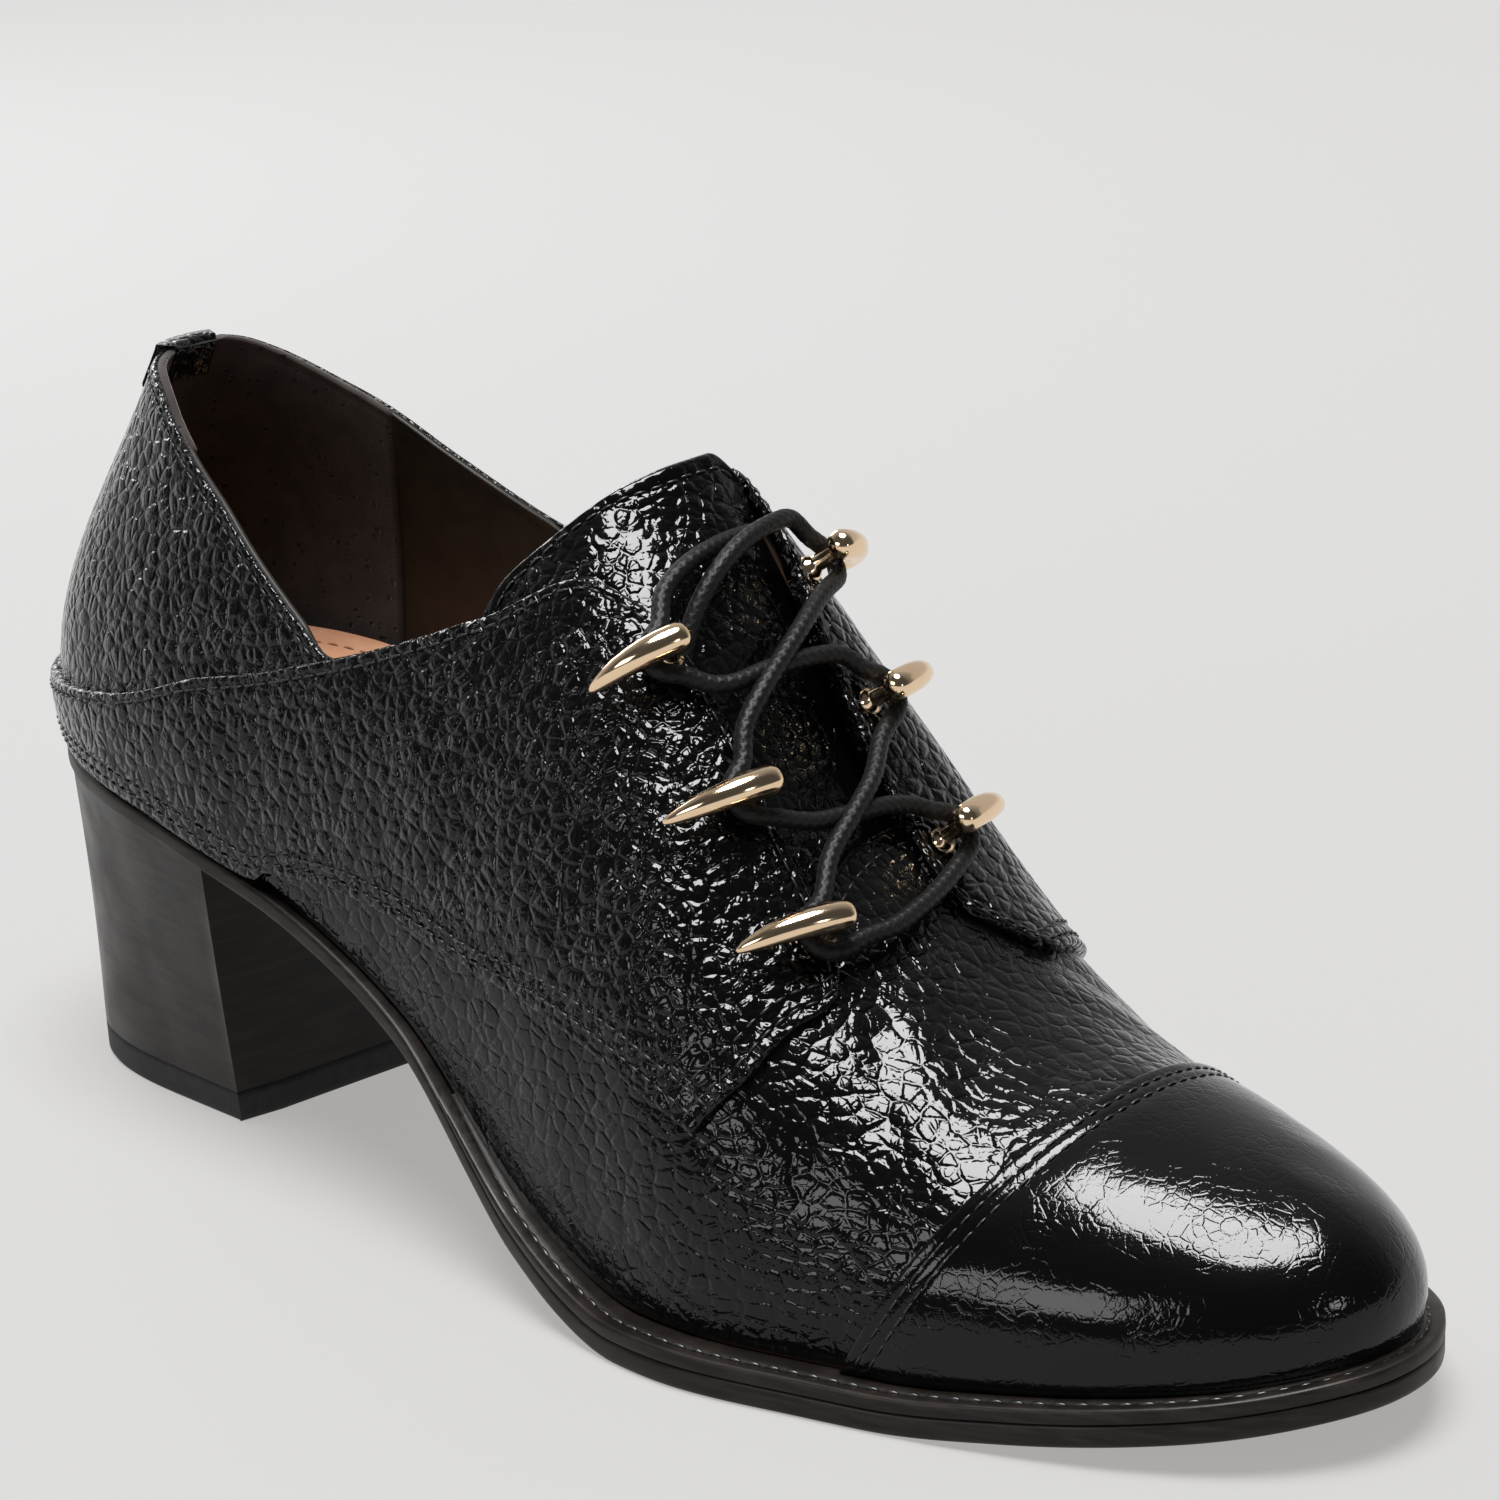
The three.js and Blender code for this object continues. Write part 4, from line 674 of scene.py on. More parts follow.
def tube(centres: Array, radii: Callable[[Array, Array], Array], sides: int) -> tuple[Array, list]:
    """A tube along a line of points, closed at both ends.

    Args:
        centres: points of the line, in millimetres.
        radii: radius by distance along and angle around.
        sides: corners of a ring.

    Returns:
        Points and faces.
    """
    tangent = np.gradient(centres, axis=0)
    tangent /= np.linalg.norm(tangent, axis=1, keepdims=True)
    side = np.cross(tangent[0], (0.3, 0.2, 1.0))
    sides_list = []
    for way in tangent:
        side = side - way * side.dot(way)
        side = side / np.linalg.norm(side)
        sides_list.append(side)
    across = np.array(sides_list)
    other = np.cross(tangent, across)
    turn = np.linspace(0, 2 * math.pi, sides, endpoint=False)
    radius = radii(run_along(centres)[:, None], turn[None, :])[..., None]
    ring = across[:, None] * np.cos(turn)[None, :, None] + other[:, None] * np.sin(turn)[None, :, None]
    points = (centres[:, None] + ring * radius).reshape(-1, 3)
    faces = ring_faces(len(centres), sides)
    faces.append(tuple(reversed(range(sides))))
    faces.append(tuple((len(centres) - 1) * sides + j for j in range(sides)))
    return points, faces


def centripetal(points: Array, step: float) -> Array:
    """A smooth curve through points, sampled at an even step in millimetres."""
    points = np.asarray(points, float)
    ends = np.vstack([2 * points[0] - points[1], points, 2 * points[-1] - points[-2]])
    fine = []
    for i in range(len(points) - 1):
        p = ends[i : i + 4]
        knots = np.concatenate([[0], np.cumsum(np.sqrt(np.linalg.norm(np.diff(p, axis=0), axis=1)))])
        for t in np.linspace(knots[1], knots[2], 24, endpoint=False):
            def mix(a: Array, b: Array, ka: float, kb: float) -> Array:
                """A point between two, by their knots."""
                return (a * (kb - t) + b * (t - ka)) / (kb - ka)

            a1, a2, a3 = (mix(p[k], p[k + 1], knots[k], knots[k + 1]) for k in range(3))
            b1, b2 = mix(a1, a2, knots[0], knots[2]), mix(a2, a3, knots[1], knots[3])
            fine.append(mix(b1, b2, knots[1], knots[2]))
    fine.append(points[-1])
    line = np.array(fine)
    travelled = run_along(line)
    want = np.linspace(0, travelled[-1], max(int(travelled[-1] / step), 2) + 1)
    return np.stack([np.interp(want, travelled, line[:, k]) for k in range(3)], -1)


class Shader:
    """A small maker of node trees."""

    def __init__(self, name: str) -> None:
        """Starts a material with its main shader."""
        self.material = bpy.data.materials.new(name)
        self.material.use_nodes = True
        self.tree = self.material.node_tree
        self.tree.nodes.clear()
        self.main = self.tree.nodes.new("ShaderNodeBsdfPrincipled")
        output = self.tree.nodes.new("ShaderNodeOutputMaterial")
        self.tree.links.new(self.main.outputs["BSDF"], output.inputs["Surface"])
        self.place = self.tree.nodes.new("ShaderNodeTexCoord").outputs["Object"]

    def set(self, **values: float | tuple[float, ...]) -> "Shader":
        """Sets sockets of the main shader, with underscores for spaces."""
        for key, value in values.items():
            self.main.inputs[key.replace("_", " ")].default_value = value
        return self

    def node(self, kind: str, **settings: object) -> bpy.types.Node:
        """Adds a node, its plain settings by name."""
        made = self.tree.nodes.new(kind)
        for key, value in settings.items():
            setattr(made, key, value)
        return made

    def link(self, source: Socket, target: Socket) -> None:
        """Joins two sockets."""
        self.tree.links.new(source, target)

    def math(self, operation: str, a: object, b: object = 0.0) -> Socket:
        """A sum of two sockets or numbers."""
        made = self.node("ShaderNodeMath", operation=operation)
        for socket, value in zip(made.inputs, (a, b)):
            if isinstance(value, Socket):
                self.link(value, socket)
            else:
                socket.default_value = float(value)
        return made.outputs[0]

    def scaled(self, x: float, y: float, z: float) -> Socket:
        """The object's place, stretched by a factor each way."""
        mapping = self.node("ShaderNodeMapping")
        mapping.inputs["Scale"].default_value = (x, y, z)
        self.link(self.place, mapping.inputs["Vector"])
        return mapping.outputs[0]

    def noise(self, size_mm: float, detail: float = 2.0, at: Socket | None = None) -> bpy.types.Node:
        """Cloudy noise of a size in millimetres."""
        made = self.node("ShaderNodeTexNoise")
        made.inputs["Scale"].default_value = 1000.0 / size_mm
        made.inputs["Detail"].default_value = detail
        self.link(at or self.place, made.inputs["Vector"])
        return made

    def warped(self, amount_mm: float, size_mm: float, at: Socket | None = None) -> Socket:
        """The object's place, pushed about by noise."""
        cloud = self.noise(size_mm, 1.0, at)
        shift = self.node("ShaderNodeVectorMath", operation="MULTIPLY_ADD")
        self.link(cloud.outputs["Color"], shift.inputs[0])
        shift.inputs[1].default_value = (amount_mm * MM * 2,) * 3
        self.link(at or self.place, shift.inputs[2])
        return shift.outputs[0]

    def cells(self, size_mm: float, at: Socket, feature: str = "F1", random: float = 1.0) -> bpy.types.Node:
        """Cells of a size in millimetres."""
        made = self.node("ShaderNodeTexVoronoi", feature=feature)
        made.inputs["Scale"].default_value = 1000.0 / size_mm
        made.inputs["Randomness"].default_value = random
        if "Smoothness" in made.inputs and feature == "SMOOTH_F1":
            made.inputs["Smoothness"].default_value = 0.35
        self.link(at, made.inputs["Vector"])
        return made

    def ramp(
        self, value: Socket, low: float, high: float, to_low: float = 0.0, to_high: float = 1.0
    ) -> Socket:
        """A value stretched smoothly from one range to another."""
        made = self.node("ShaderNodeMapRange", interpolation_type="SMOOTHSTEP")
        made.inputs["From Min"].default_value = low
        made.inputs["From Max"].default_value = high
        made.inputs["To Min"].default_value = to_low
        made.inputs["To Max"].default_value = to_high
        self.link(value, made.inputs["Value"])
        return made.outputs[0]

    def paint(self, share: Socket, low: Sequence[float], high: Sequence[float]) -> None:
        """Colours the surface between two colours."""
        made = self.node("ShaderNodeMix", data_type="RGBA")
        self.link(share, made.inputs["Factor"])
        made.inputs[6].default_value = (*low, 1.0)
        made.inputs[7].default_value = (*high, 1.0)
        self.link(made.outputs[2], self.main.inputs["Base Color"])

    def bump(self, height: Socket, depth_mm: float, before: Socket | None = None) -> Socket:
        """Raises the surface by a height of 0 to 1 times a depth."""
        made = self.node("ShaderNodeBump")
        made.inputs["Strength"].default_value = 1.0
        made.inputs["Distance"].default_value = depth_mm * MM
        self.link(height, made.inputs["Height"])
        if before is not None:
            self.link(before, made.inputs["Normal"])
        return made.outputs[0]

    def finish(self, normal: Socket | None = None, coat: Socket | None = None) -> bpy.types.Material:
        """Joins the normals and returns the material."""
        if normal is not None:
            self.link(normal, self.main.inputs["Normal"])
        if coat is not None:
            self.link(coat, self.main.inputs["Coat Normal"])
        return self.material


@dataclass(frozen=True)
class PatentLeather:
    """Black patent leather with a pressed pebble grain."""

    name: str
    grain_mm: float = 2.1
    depth_mm: float = 0.16
    crease: float = 0.26
    small: float = 0.25
    round: float = 1.8
    faint: float = 0.55
    swell_mm: float = 0.7
    gloss: float = 0.05
    stretch: tuple[float, float, float] = (1.0, 1.0, 1.0)

    def material(self) -> bpy.types.Material:
        """Builds the leather's material."""
        shader = Shader(self.name)
        shader.set(Base_Color=(0.0025, 0.0024, 0.0025, 1), Roughness=0.4, Specular_IOR_Level=0.03)
        shader.set(Coat_Weight=1.0, Coat_Roughness=self.gloss, Coat_IOR=1.47)
        place = shader.warped(0.30 * self.grain_mm, 2.6 * self.grain_mm, shader.scaled(*self.stretch))
        place = shader.warped(0.10 * self.grain_mm, 0.7 * self.grain_mm, place)
        crease = shader.cells(self.grain_mm, place, "DISTANCE_TO_EDGE", 1.0)
        pebble = shader.cells(self.grain_mm, place, "SMOOTH_F1", 1.0)
        small = shader.cells(self.grain_mm * 0.52, place, "DISTANCE_TO_EDGE", 1.0)
        wide = shader.math("MULTIPLY", shader.ramp(crease.outputs["Distance"], 0.0, self.crease), 0.8)
        narrow = shader.math("MULTIPLY", shader.ramp(small.outputs["Distance"], 0.0, self.crease), self.small)
        groove = shader.math("ADD", wide, narrow)
        dome = shader.math("MULTIPLY", shader.math("POWER", pebble.outputs["Distance"], 2.0), -self.round)
        patchy = shader.ramp(shader.noise(9.0, 2.0).outputs["Fac"], 0.35, 0.62, self.faint, 1.0)
        height = shader.math("MULTIPLY", shader.math("ADD", groove, dome), patchy)
        swell = shader.bump(shader.noise(13.0, 1.0).outputs["Fac"], self.swell_mm)
        fine = shader.bump(shader.noise(0.5, 2.0).outputs["Fac"], 0.012, swell)
        normal = shader.bump(height, self.depth_mm, fine)
        return shader.finish(normal, normal)


@dataclass(frozen=True)
class SmoothLeather:
    """Leather or a board without pebbles, such as a lining, a tongue's back, an edge or a sock."""

    name: str
    color: tuple[float, float, float]
    second: tuple[float, float, float]
    roughness: float = 0.5
    mottle_mm: float = 3.0
    depth_mm: float = 0.05
    coat: float = 0.0
    sheen: float = 0.0

    def material(self) -> bpy.types.Material:
        """Builds the material."""
        shader = Shader(self.name)
        shader.set(Roughness=self.roughness, Coat_Weight=self.coat, Coat_Roughness=0.2, Sheen_Weight=self.sheen)
        cloud = shader.noise(self.mottle_mm, 4.0)
        shader.paint(shader.ramp(cloud.outputs["Fac"], 0.35, 0.65), self.color, self.second)
        fine = shader.noise(0.5, 3.0)
        return shader.finish(shader.bump(fine.outputs["Fac"], self.depth_mm))


@dataclass(frozen=True)
class PigskinLining:
    """Dark napped lining with groups of bristle holes."""

    name: str = "lining_pigskin"
    hole: tuple[float, float, float] = (0.002, 0.0015, 0.0015)
    leather: tuple[float, float, float] = (0.036, 0.026, 0.021)
    hole_mm: float = 2.3
    depth_mm: float = 0.14

    def material(self) -> bpy.types.Material:
        """Builds the material."""
        shader = Shader(self.name)
        shader.set(Roughness=0.85, Sheen_Weight=0.25, Sheen_Roughness=0.5)
        holes = shader.cells(self.hole_mm, shader.warped(1.2, 4.0), "F1", 1.0)
        pit = shader.ramp(holes.outputs["Distance"], 0.12, 0.24)
        cloud = shader.ramp(shader.noise(4.0, 4.0).outputs["Fac"], 0.3, 0.7)
        nap = shader.math("MULTIPLY", pit, shader.ramp(cloud, 0.0, 1.0, 0.6, 1.0))
        shader.paint(nap, self.hole, self.leather)
        height = shader.math("ADD", pit, shader.math("MULTIPLY", shader.noise(0.4, 3.0).outputs["Fac"], 0.6))
        return shader.finish(shader.bump(height, self.depth_mm))


@dataclass(frozen=True)
class StackedEdge:
    """Dyed and waxed leather edge, in thin level layers."""

    name: str
    layer_mm: float = 3.2
    roughness: float = 0.36
    dark: tuple[float, float, float] = (0.010, 0.008, 0.007)
    light: tuple[float, float, float] = (0.024, 0.019, 0.016)

    def material(self) -> bpy.types.Material:
        """Builds the material."""
        shader = Shader(self.name)
        shader.set(Coat_Weight=0.12, Coat_Roughness=0.25, Specular_IOR_Level=0.32)
        stretched = shader.scaled(0.12, 0.12, 1.0)
        bands = shader.noise(self.layer_mm * 0.35, 3.0, stretched)
        shade = shader.ramp(bands.outputs["Fac"], 0.3, 0.7)
        shader.paint(shade, self.dark, self.light)
        worn = shader.noise(9.0, 3.0).outputs["Fac"]
        rough = shader.ramp(worn, 0.3, 0.7, self.roughness - 0.06, self.roughness + 0.08)
        shader.link(rough, shader.main.inputs["Roughness"])
        fine = shader.math("MULTIPLY", shader.noise(0.6, 3.0).outputs["Fac"], 0.5)
        height = shader.math("ADD", bands.outputs["Fac"], fine)
        return shader.finish(shader.bump(height, 0.05))


@dataclass(frozen=True)
class GoldPlate:
    """Polished light gold plating."""

    name: str = "gold_plate"

    def material(self) -> bpy.types.Material:
        """Builds the material."""
        shader = Shader(self.name)
        shader.set(Base_Color=(0.93, 0.72, 0.50, 1), Metallic=1.0, Roughness=0.12)
        return shader.finish(shader.bump(shader.noise(5.0, 1.0).outputs["Fac"], 0.02))


@dataclass(frozen=True)
class WaxedCord:
    """Black waxed cotton."""

    name: str = "waxed_cord"

    def material(self) -> bpy.types.Material:
        """Builds the material."""
        shader = Shader(self.name)
        shader.set(Roughness=0.45, Specular_IOR_Level=0.35, Sheen_Weight=0.03)
        fibre = shader.noise(0.25, 4.0)
        shader.paint(fibre.outputs["Fac"], (0.004, 0.004, 0.004), (0.012, 0.012, 0.012))
        return shader.finish(shader.bump(fibre.outputs["Fac"], 0.05))


class Finishes:
    """Every finish of the shoe, made once."""

    def __init__(self) -> None:
        """Builds the materials."""
        patent = PatentLeather
        self.side = patent("patent_side", 2.3, 0.20).material()
        self.vamp = patent(
            "patent_vamp", 2.3, 0.105, crease=0.20, round=2.0, faint=0.6, swell_mm=0.5, stretch=(0.8, 1.0, 1.0)
        ).material()
        self.cap = patent(
            "patent_cap", 2.0, 0.032, crease=0.12, round=0.5, faint=0.2, swell_mm=0.3, gloss=0.07
        ).material()
        self.tongue = patent("patent_tongue", 2.2, 0.14, faint=0.3).material()
        self.pigskin = PigskinLining().material()
        plain = SmoothLeather
        self.lining = plain(
            "lining_smooth", (0.012, 0.009, 0.006), (0.019, 0.015, 0.010), 0.5, 4.0, 0.04
        ).material()
        self.sock = plain("insole_tan", (0.47, 0.245, 0.145), (0.55, 0.31, 0.195), 0.55, 9.0, 0.03).material()
        self.edge = StackedEdge("sole_edge", 2.4, 0.42).material()
        self.heel = StackedEdge("heel_stack", 3.6, 0.34).material()
        self.lift = plain("heel_rubber", (0.012, 0.012, 0.012), (0.02, 0.02, 0.02), 0.55, 2.0, 0.04).material()
        self.thread = plain(
            "thread_black", (0.014, 0.014, 0.015), (0.03, 0.03, 0.032), 0.35, 1.0, 0.03, 0.3
        ).material()
        self.tan_thread = plain("thread_tan", (0.30, 0.15, 0.08), (0.40, 0.21, 0.12), 0.5, 1.0, 0.03).material()
        self.gold = GoldPlate().material()
        self.cord = WaxedCord().material()


def dress(piece: bpy.types.Object, slot: str, material: bpy.types.Material, *nodes: str) -> bpy.types.Object:
    """Gives a piece its material and body, and hides the CAD nodes that it stands for.

    Args:
        piece: the object.
        slot: the record's material slot; not used.
        material: its finish.
        nodes: CAD nodes that it replaces.

    Returns:
        The same object.
    """
    piece.data.materials.clear()
    piece.data.materials.append(material)
    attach(piece, BODY)
    if nodes:
        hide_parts(*nodes)
    log.info("made %s with %d faces", piece.name, len(piece.data.polygons))
    return piece


@dataclass
class Stitches:
    """A row of thread stitches on the last, or on any line of points with directions."""

    length: float = 2.0
    pitch: float = 2.7
    width: float = 0.5
    points: list[Array] = field(default_factory=list)
    faces: list[tuple[int, ...]] = field(default_factory=list)

    def along(self, line: Array, outward: Array) -> None:
        """Lays stitches on a line of millimetre points, each standing out along a direction."""
        travelled = np.concatenate([[0], np.cumsum(np.linalg.norm(np.diff(line, axis=0), axis=1))])
        total = travelled[-1]
        starts = np.arange(self.pitch / 2, total - self.length, self.pitch)
        rings = ((0.0, 0.25), (0.12, 0.75), (0.35, 1.0), (0.65, 1.0), (0.88, 0.75), (1.0, 0.25))
        for start in starts:
            shares = np.array([r[0] for r in rings])
            want = start + shares * self.length
            centre = np.stack([np.interp(want, travelled, line[:, k]) for k in range(3)], -1)
            up = np.stack([np.interp(want, travelled, outward[:, k]) for k in range(3)], -1)
            up /= np.linalg.norm(up, axis=1, keepdims=True)
            way = centre[-1] - centre[0]
            across = np.cross(way / np.linalg.norm(way), up)
            across /= np.linalg.norm(across, axis=1, keepdims=True)
            arch = np.sin(shares * math.pi) * 0.16 - 0.06
            turn = np.linspace(0, 2 * math.pi, 6, endpoint=False)
            size = np.array([r[1] for r in rings])[:, None, None] * self.width / 2
            ring = across[:, None] * np.cos(turn)[None, :, None] + up[:, None] * np.sin(turn)[None, :, None] * 0.8
            points = (centre + up * arch[:, None])[:, None] + ring * size
            base = len(self.points) * len(rings) * 6
            self.points.append(points.reshape(-1, 3))
            for i in range(len(rings) - 1):
                for j in range(6):
                    k = (j + 1) % 6
                    self.faces.append((base + i * 6 + k, base + i * 6 + j, base + (i + 1) * 6 + j, base + (i + 1) * 6 + k))
            self.faces.append(tuple(base + j for j in range(6)))
            self.faces.append(tuple(base + (len(rings) - 1) * 6 + j for j in reversed(range(6))))

    def on_last(self, spots: Array, out: float) -> None:
        """Lays stitches on a line of stations and places around, a distance out from the last."""
        line = LAST.at(spots[:, 0], spots[:, 1], out)
        keep = np.concatenate([[True], np.linalg.norm(np.diff(line, axis=0), axis=1) > 1e-4])
        self.along(line[keep], LAST.normal(spots[keep, 0], spots[keep, 1]))

    def build(self, name: str) -> bpy.types.Object:
        """Joins the stitches into one object."""
        return make_object(name, np.concatenate(self.points), self.faces)


class Sole:
    """Outsole, welt, heel and insole."""

    def __init__(self, finishes: Finishes) -> None:
        """Keeps the finishes."""
        self.finishes = finishes

    @staticmethod
    def ring(out: Array | float, start: float = 0.0, pitch: float = 0.06) -> tuple[Array, Array, Array]:
        """Plan points round the sole.

        Args:
            out: distance moved out.
            start: the station at both ends of the ring, 0 for a full ring.
            pitch: step in stations.

        Returns:
            Plan points, outward directions and stations, lateral side first.
        """
        stations = np.linspace(start, LAST_STATION, int((LAST_STATION - start) / pitch) + 1)
        lateral, normal_lateral = LAST.outline(-1, stations, out)
        medial, normal_medial = LAST.outline(1, stations[::-1], out)
        cut = slice(1, -1) if start == 0 else slice(1, None)
        return (
            np.concatenate([lateral, medial[cut]]),
            np.concatenate([normal_lateral, normal_medial[cut]]),
            np.concatenate([stations, stations[::-1][cut]]),
        )

    def outsole(self) -> bpy.types.Object:
        """The outsole with a softened edge."""
        plan, outward, _ = self.ring(0.0)
        half = len(plan)
        thick = LAST.sole_top(plan[:, 0]) - LAST.sole_bottom(plan[:, 0])
        profile = ((-9.0, 0.0), (-0.9, 0.0), (-0.35, 0.05), (-0.06, 0.14), (0.0, 0.28),
            (0.0, 0.72), (-0.05, 0.84), (-0.3, 0.95), (-0.8, 1.0), (-9.0, 1.0))
        rings = []
        for inward, share in profile:
            flat = plan + outward * min(inward, 0.0) if inward > -5 else self.ring(inward)[0]
            z = LAST.sole_bottom(flat[:, 0]) + share * thick
            rings.append(np.concatenate([flat, z[:, None]], 1))
        points = np.concatenate(rings)
        faces = []
        for i in range(len(rings) - 1):
            for j in range(half):
                k = (j + 1) % half
                faces.append((i * half + j, (i + 1) * half + j, (i + 1) * half + k, i * half + k))
        points, faces = self.close_board(points, faces, 0, half, flip=False)
        points, faces = self.close_board(points, faces, (len(rings) - 1) * half, half, flip=True)
        piece = make_object("sole_outsole", points, faces)
        sharpen(piece, 50)
        return dress(piece, "sole_edge", self.finishes.edge, "outsole")

    @staticmethod
    def close_board(points: Array, faces: list, first: int, count: int, flip: bool) -> tuple[Array, list]:
        """Closes a ring of a board with strips from its lateral to its medial side."""
        half = count // 2
        for j in range(half):
            a, b = first + j, first + (j + 1) % count
            c, d = first + (count - 1 - j) % count, first + (count - j) % count
            ring = (a, b, c, d)
            clean = [v for k, v in enumerate(ring) if v != ring[k - 1]]
            if len(set(clean)) >= 3:
                faces.append(tuple(reversed(clean)) if not flip else tuple(clean))
        return points, faces

    def welt(self) -> bpy.types.Object:
        """The welt round the forepart, with its stitch groove."""
        start = 6.7
        plan, outward, stations = self.ring(0.0, start)
        inset = LAST.section("inset", stations) * WELT_LEDGE + 1.2
        floor = LAST.sole_top(plan[:, 0])
        thick = LAST.welt_top(plan[:, 0]) - floor
        profile = (
            (0.0, 0.06), (-0.03, 0.0), (0.02, 0.1), (0.05, 0.5), (0.0, 0.86), (-0.25, 0.98), (-0.6, 1.0), (-1.5, 1.0),
            (-1.8, 0.93), (-2.1, 0.86), (-2.4, 0.93), (-2.7, 1.0), (-3.2, 1.0),
        )
        rows = []
        for inward, share in profile[1:]:
            flat = plan + outward * inward
            rows.append(np.concatenate([flat, (floor + share * thick)[:, None]], 1))
        inner = plan - outward * np.maximum(inset, 3.3)[:, None]
        rows.append(np.concatenate([inner, (floor + thick)[:, None]], 1))
        rows.append(np.concatenate([inner, (floor - 0.1)[:, None]], 1))
        shell = np.stack(rows, 1)
        count, around = shell.shape[:2]
        faces = []
        for i in range(count - 1):
            for j in range(around):
                k = (j + 1) % around
                faces.append((i * around + j, (i + 1) * around + j, (i + 1) * around + k, i * around + k))
        faces.append(tuple(range(around)))
        faces.append(tuple((count - 1) * around + j for j in reversed(range(around))))
        piece = make_object("sole_welt", shell.reshape(-1, 3), faces)
        sharpen(piece, 60)
        return dress(piece, "sole_edge", self.finishes.edge, "welt")

    def welt_stitches(self) -> bpy.types.Object:
        """Thread in the welt's groove."""
        plan, _, stations = self.ring(-2.1, 6.8)
        z = LAST.welt_top(plan[:, 0]) - 0.12
        row = Stitches(length=2.3, pitch=2.9, width=0.75)
        line = np.concatenate([plan, z[:, None]], 1)
        row.along(line, np.tile((0.0, 0.0, 1.0), (len(line), 1)))
        return dress(row.build("sole_welt_stitches"), "sole_edge", self.finishes.thread)

    def insole(self) -> bpy.types.Object:
        """The cupped insole under the foot."""
        stations = np.concatenate([np.linspace(0.55, 14.45, 150)])
        out = -LAST.section("inset", stations) * WELT_LEDGE + INNER_LEVEL - 0.5
        lateral, _ = LAST.outline(-1, stations, out)
        medial, _ = LAST.outline(1, stations, out)
        t = np.concatenate([np.linspace(0, 0.14, 8), np.linspace(0.18, 0.82, 22), np.linspace(0.86, 1, 8)])
        plan = lateral[:, None] * (1 - t)[None, :, None] + medial[:, None] * t[None, :, None]
        rim = np.abs(2 * t - 1)[None, :] * np.ones((len(stations), 1))
        x = plan[..., 0]
        base = LAST.sole_top(x) + 0.5
        middle = monotone(LAST.insole, x / LENGTH, 1)
        edge = monotone(LAST.insole, x / LENGTH, 2)
        top = base + (middle + (edge - middle) * rim**3) * INSOLE_THICK
        # The edge is rounded
        side_mm = np.minimum(t, 1 - t)[None, :] * np.linalg.norm(medial - lateral, axis=1)[:, None]
        top -= 0.9 * (1 - np.sqrt(np.clip(1 - np.clip(1 - side_mm / 1.2, 0, 0.999) ** 2, 0, 1)))
        shell = Shell()
        high = np.concatenate([plan, top[..., None]], -1)
        low = np.concatenate([plan, base[..., None]], -1)
        shell.add(high, low)
        piece = dress(shell.build("insole_sock"), "insole_leather", self.finishes.sock, "insole")
        wide = np.linalg.norm(medial - lateral, axis=1)
        stitches = Stitches(length=2.1, pitch=3.0, width=0.5)
        for side in Side:
            share = 4.2 / wide if side is Side.LATERAL else 1 - 4.2 / wide
            spot = lateral + (medial - lateral) * share[:, None]
            z = np.array([np.interp(a, t, row) for a, row in zip(share, top)])
            line = np.concatenate([spot, z[:, None]], -1)[8:-8]
            stitches.along(line, np.tile([0.0, 0.0, 1.0], (len(line), 1)))
        dress(stitches.build("insole_stitches"), "insole_leather", self.finishes.tan_thread)
        return piece

    @staticmethod
    def heel_ring(level: float, share: float, inward: float, steps: int = 96) -> Array:
        """A level outline of the heel.

        Args:
            level: share of the way from the lift's foot to the seat.
            share: how far the outline has grown from the foot's to the seat's.
            inward: distance moved in.
            steps: points round it.

        Returns:
            Points of the outline.
        """
        middle = HEEL_BREAST + (HEEL_BACK - HEEL_BREAST) * 0.32
        t = np.linspace(0, 1, steps // 2 + 1)
        rows = []
        places = np.linspace(0, 5, 500)
        station_end = float(np.interp(HEEL_BREAST_TOP, LAST.section("along", places) * LENGTH, places))
        for side in (-1, 1):
            turn = np.clip((t - 0.32) / 0.68, 0, 1) * math.pi / 2
            x = np.where(t <= 0.32, HEEL_BREAST + (middle - HEEL_BREAST) * t / 0.32, middle - (middle - HEEL_BACK) * np.sin(turn) ** (2 / 2.7))
            y = np.where(t <= 0.32, HEEL_WIDTH / 2, HEEL_WIDTH / 2 * np.maximum(np.cos(turn), 0) ** (2 / 2.7))
            angle = math.radians(HEEL_TURN)
            dx, dy = x - middle, side * y
            foot = np.stack([middle + dx * math.cos(angle) - dy * math.sin(angle), dx * math.sin(angle) + dy * math.cos(angle)], -1)
            head, _ = LAST.outline(side, station_end * (1 - t), -0.5)
            rows.append(foot * (1 - share) + head * share)
        ring = np.concatenate([rows[0], rows[1][-2::-1]])
        # Corners at the breast are eased, and the whole ring moved in
        for _ in range(2):
            ring = np.concatenate([ring[:1] * 0.8 + ring[1:2] * 0.1 + ring[-1:] * 0.1, ring[1:-1], ring[-1:] * 0.8 + ring[-2:-1] * 0.1 + ring[:1] * 0.1])
        way = np.roll(ring, -1, axis=0) - np.roll(ring, 1, axis=0)
        way /= np.linalg.norm(way, axis=1, keepdims=True)
        ring = ring + np.stack([way[:, 1], -way[:, 0]], -1) * inward
        ceiling = LAST.sole_bottom(ring[:, 0]) - 0.05
        return np.concatenate([ring, (level * ceiling)[:, None]], 1)

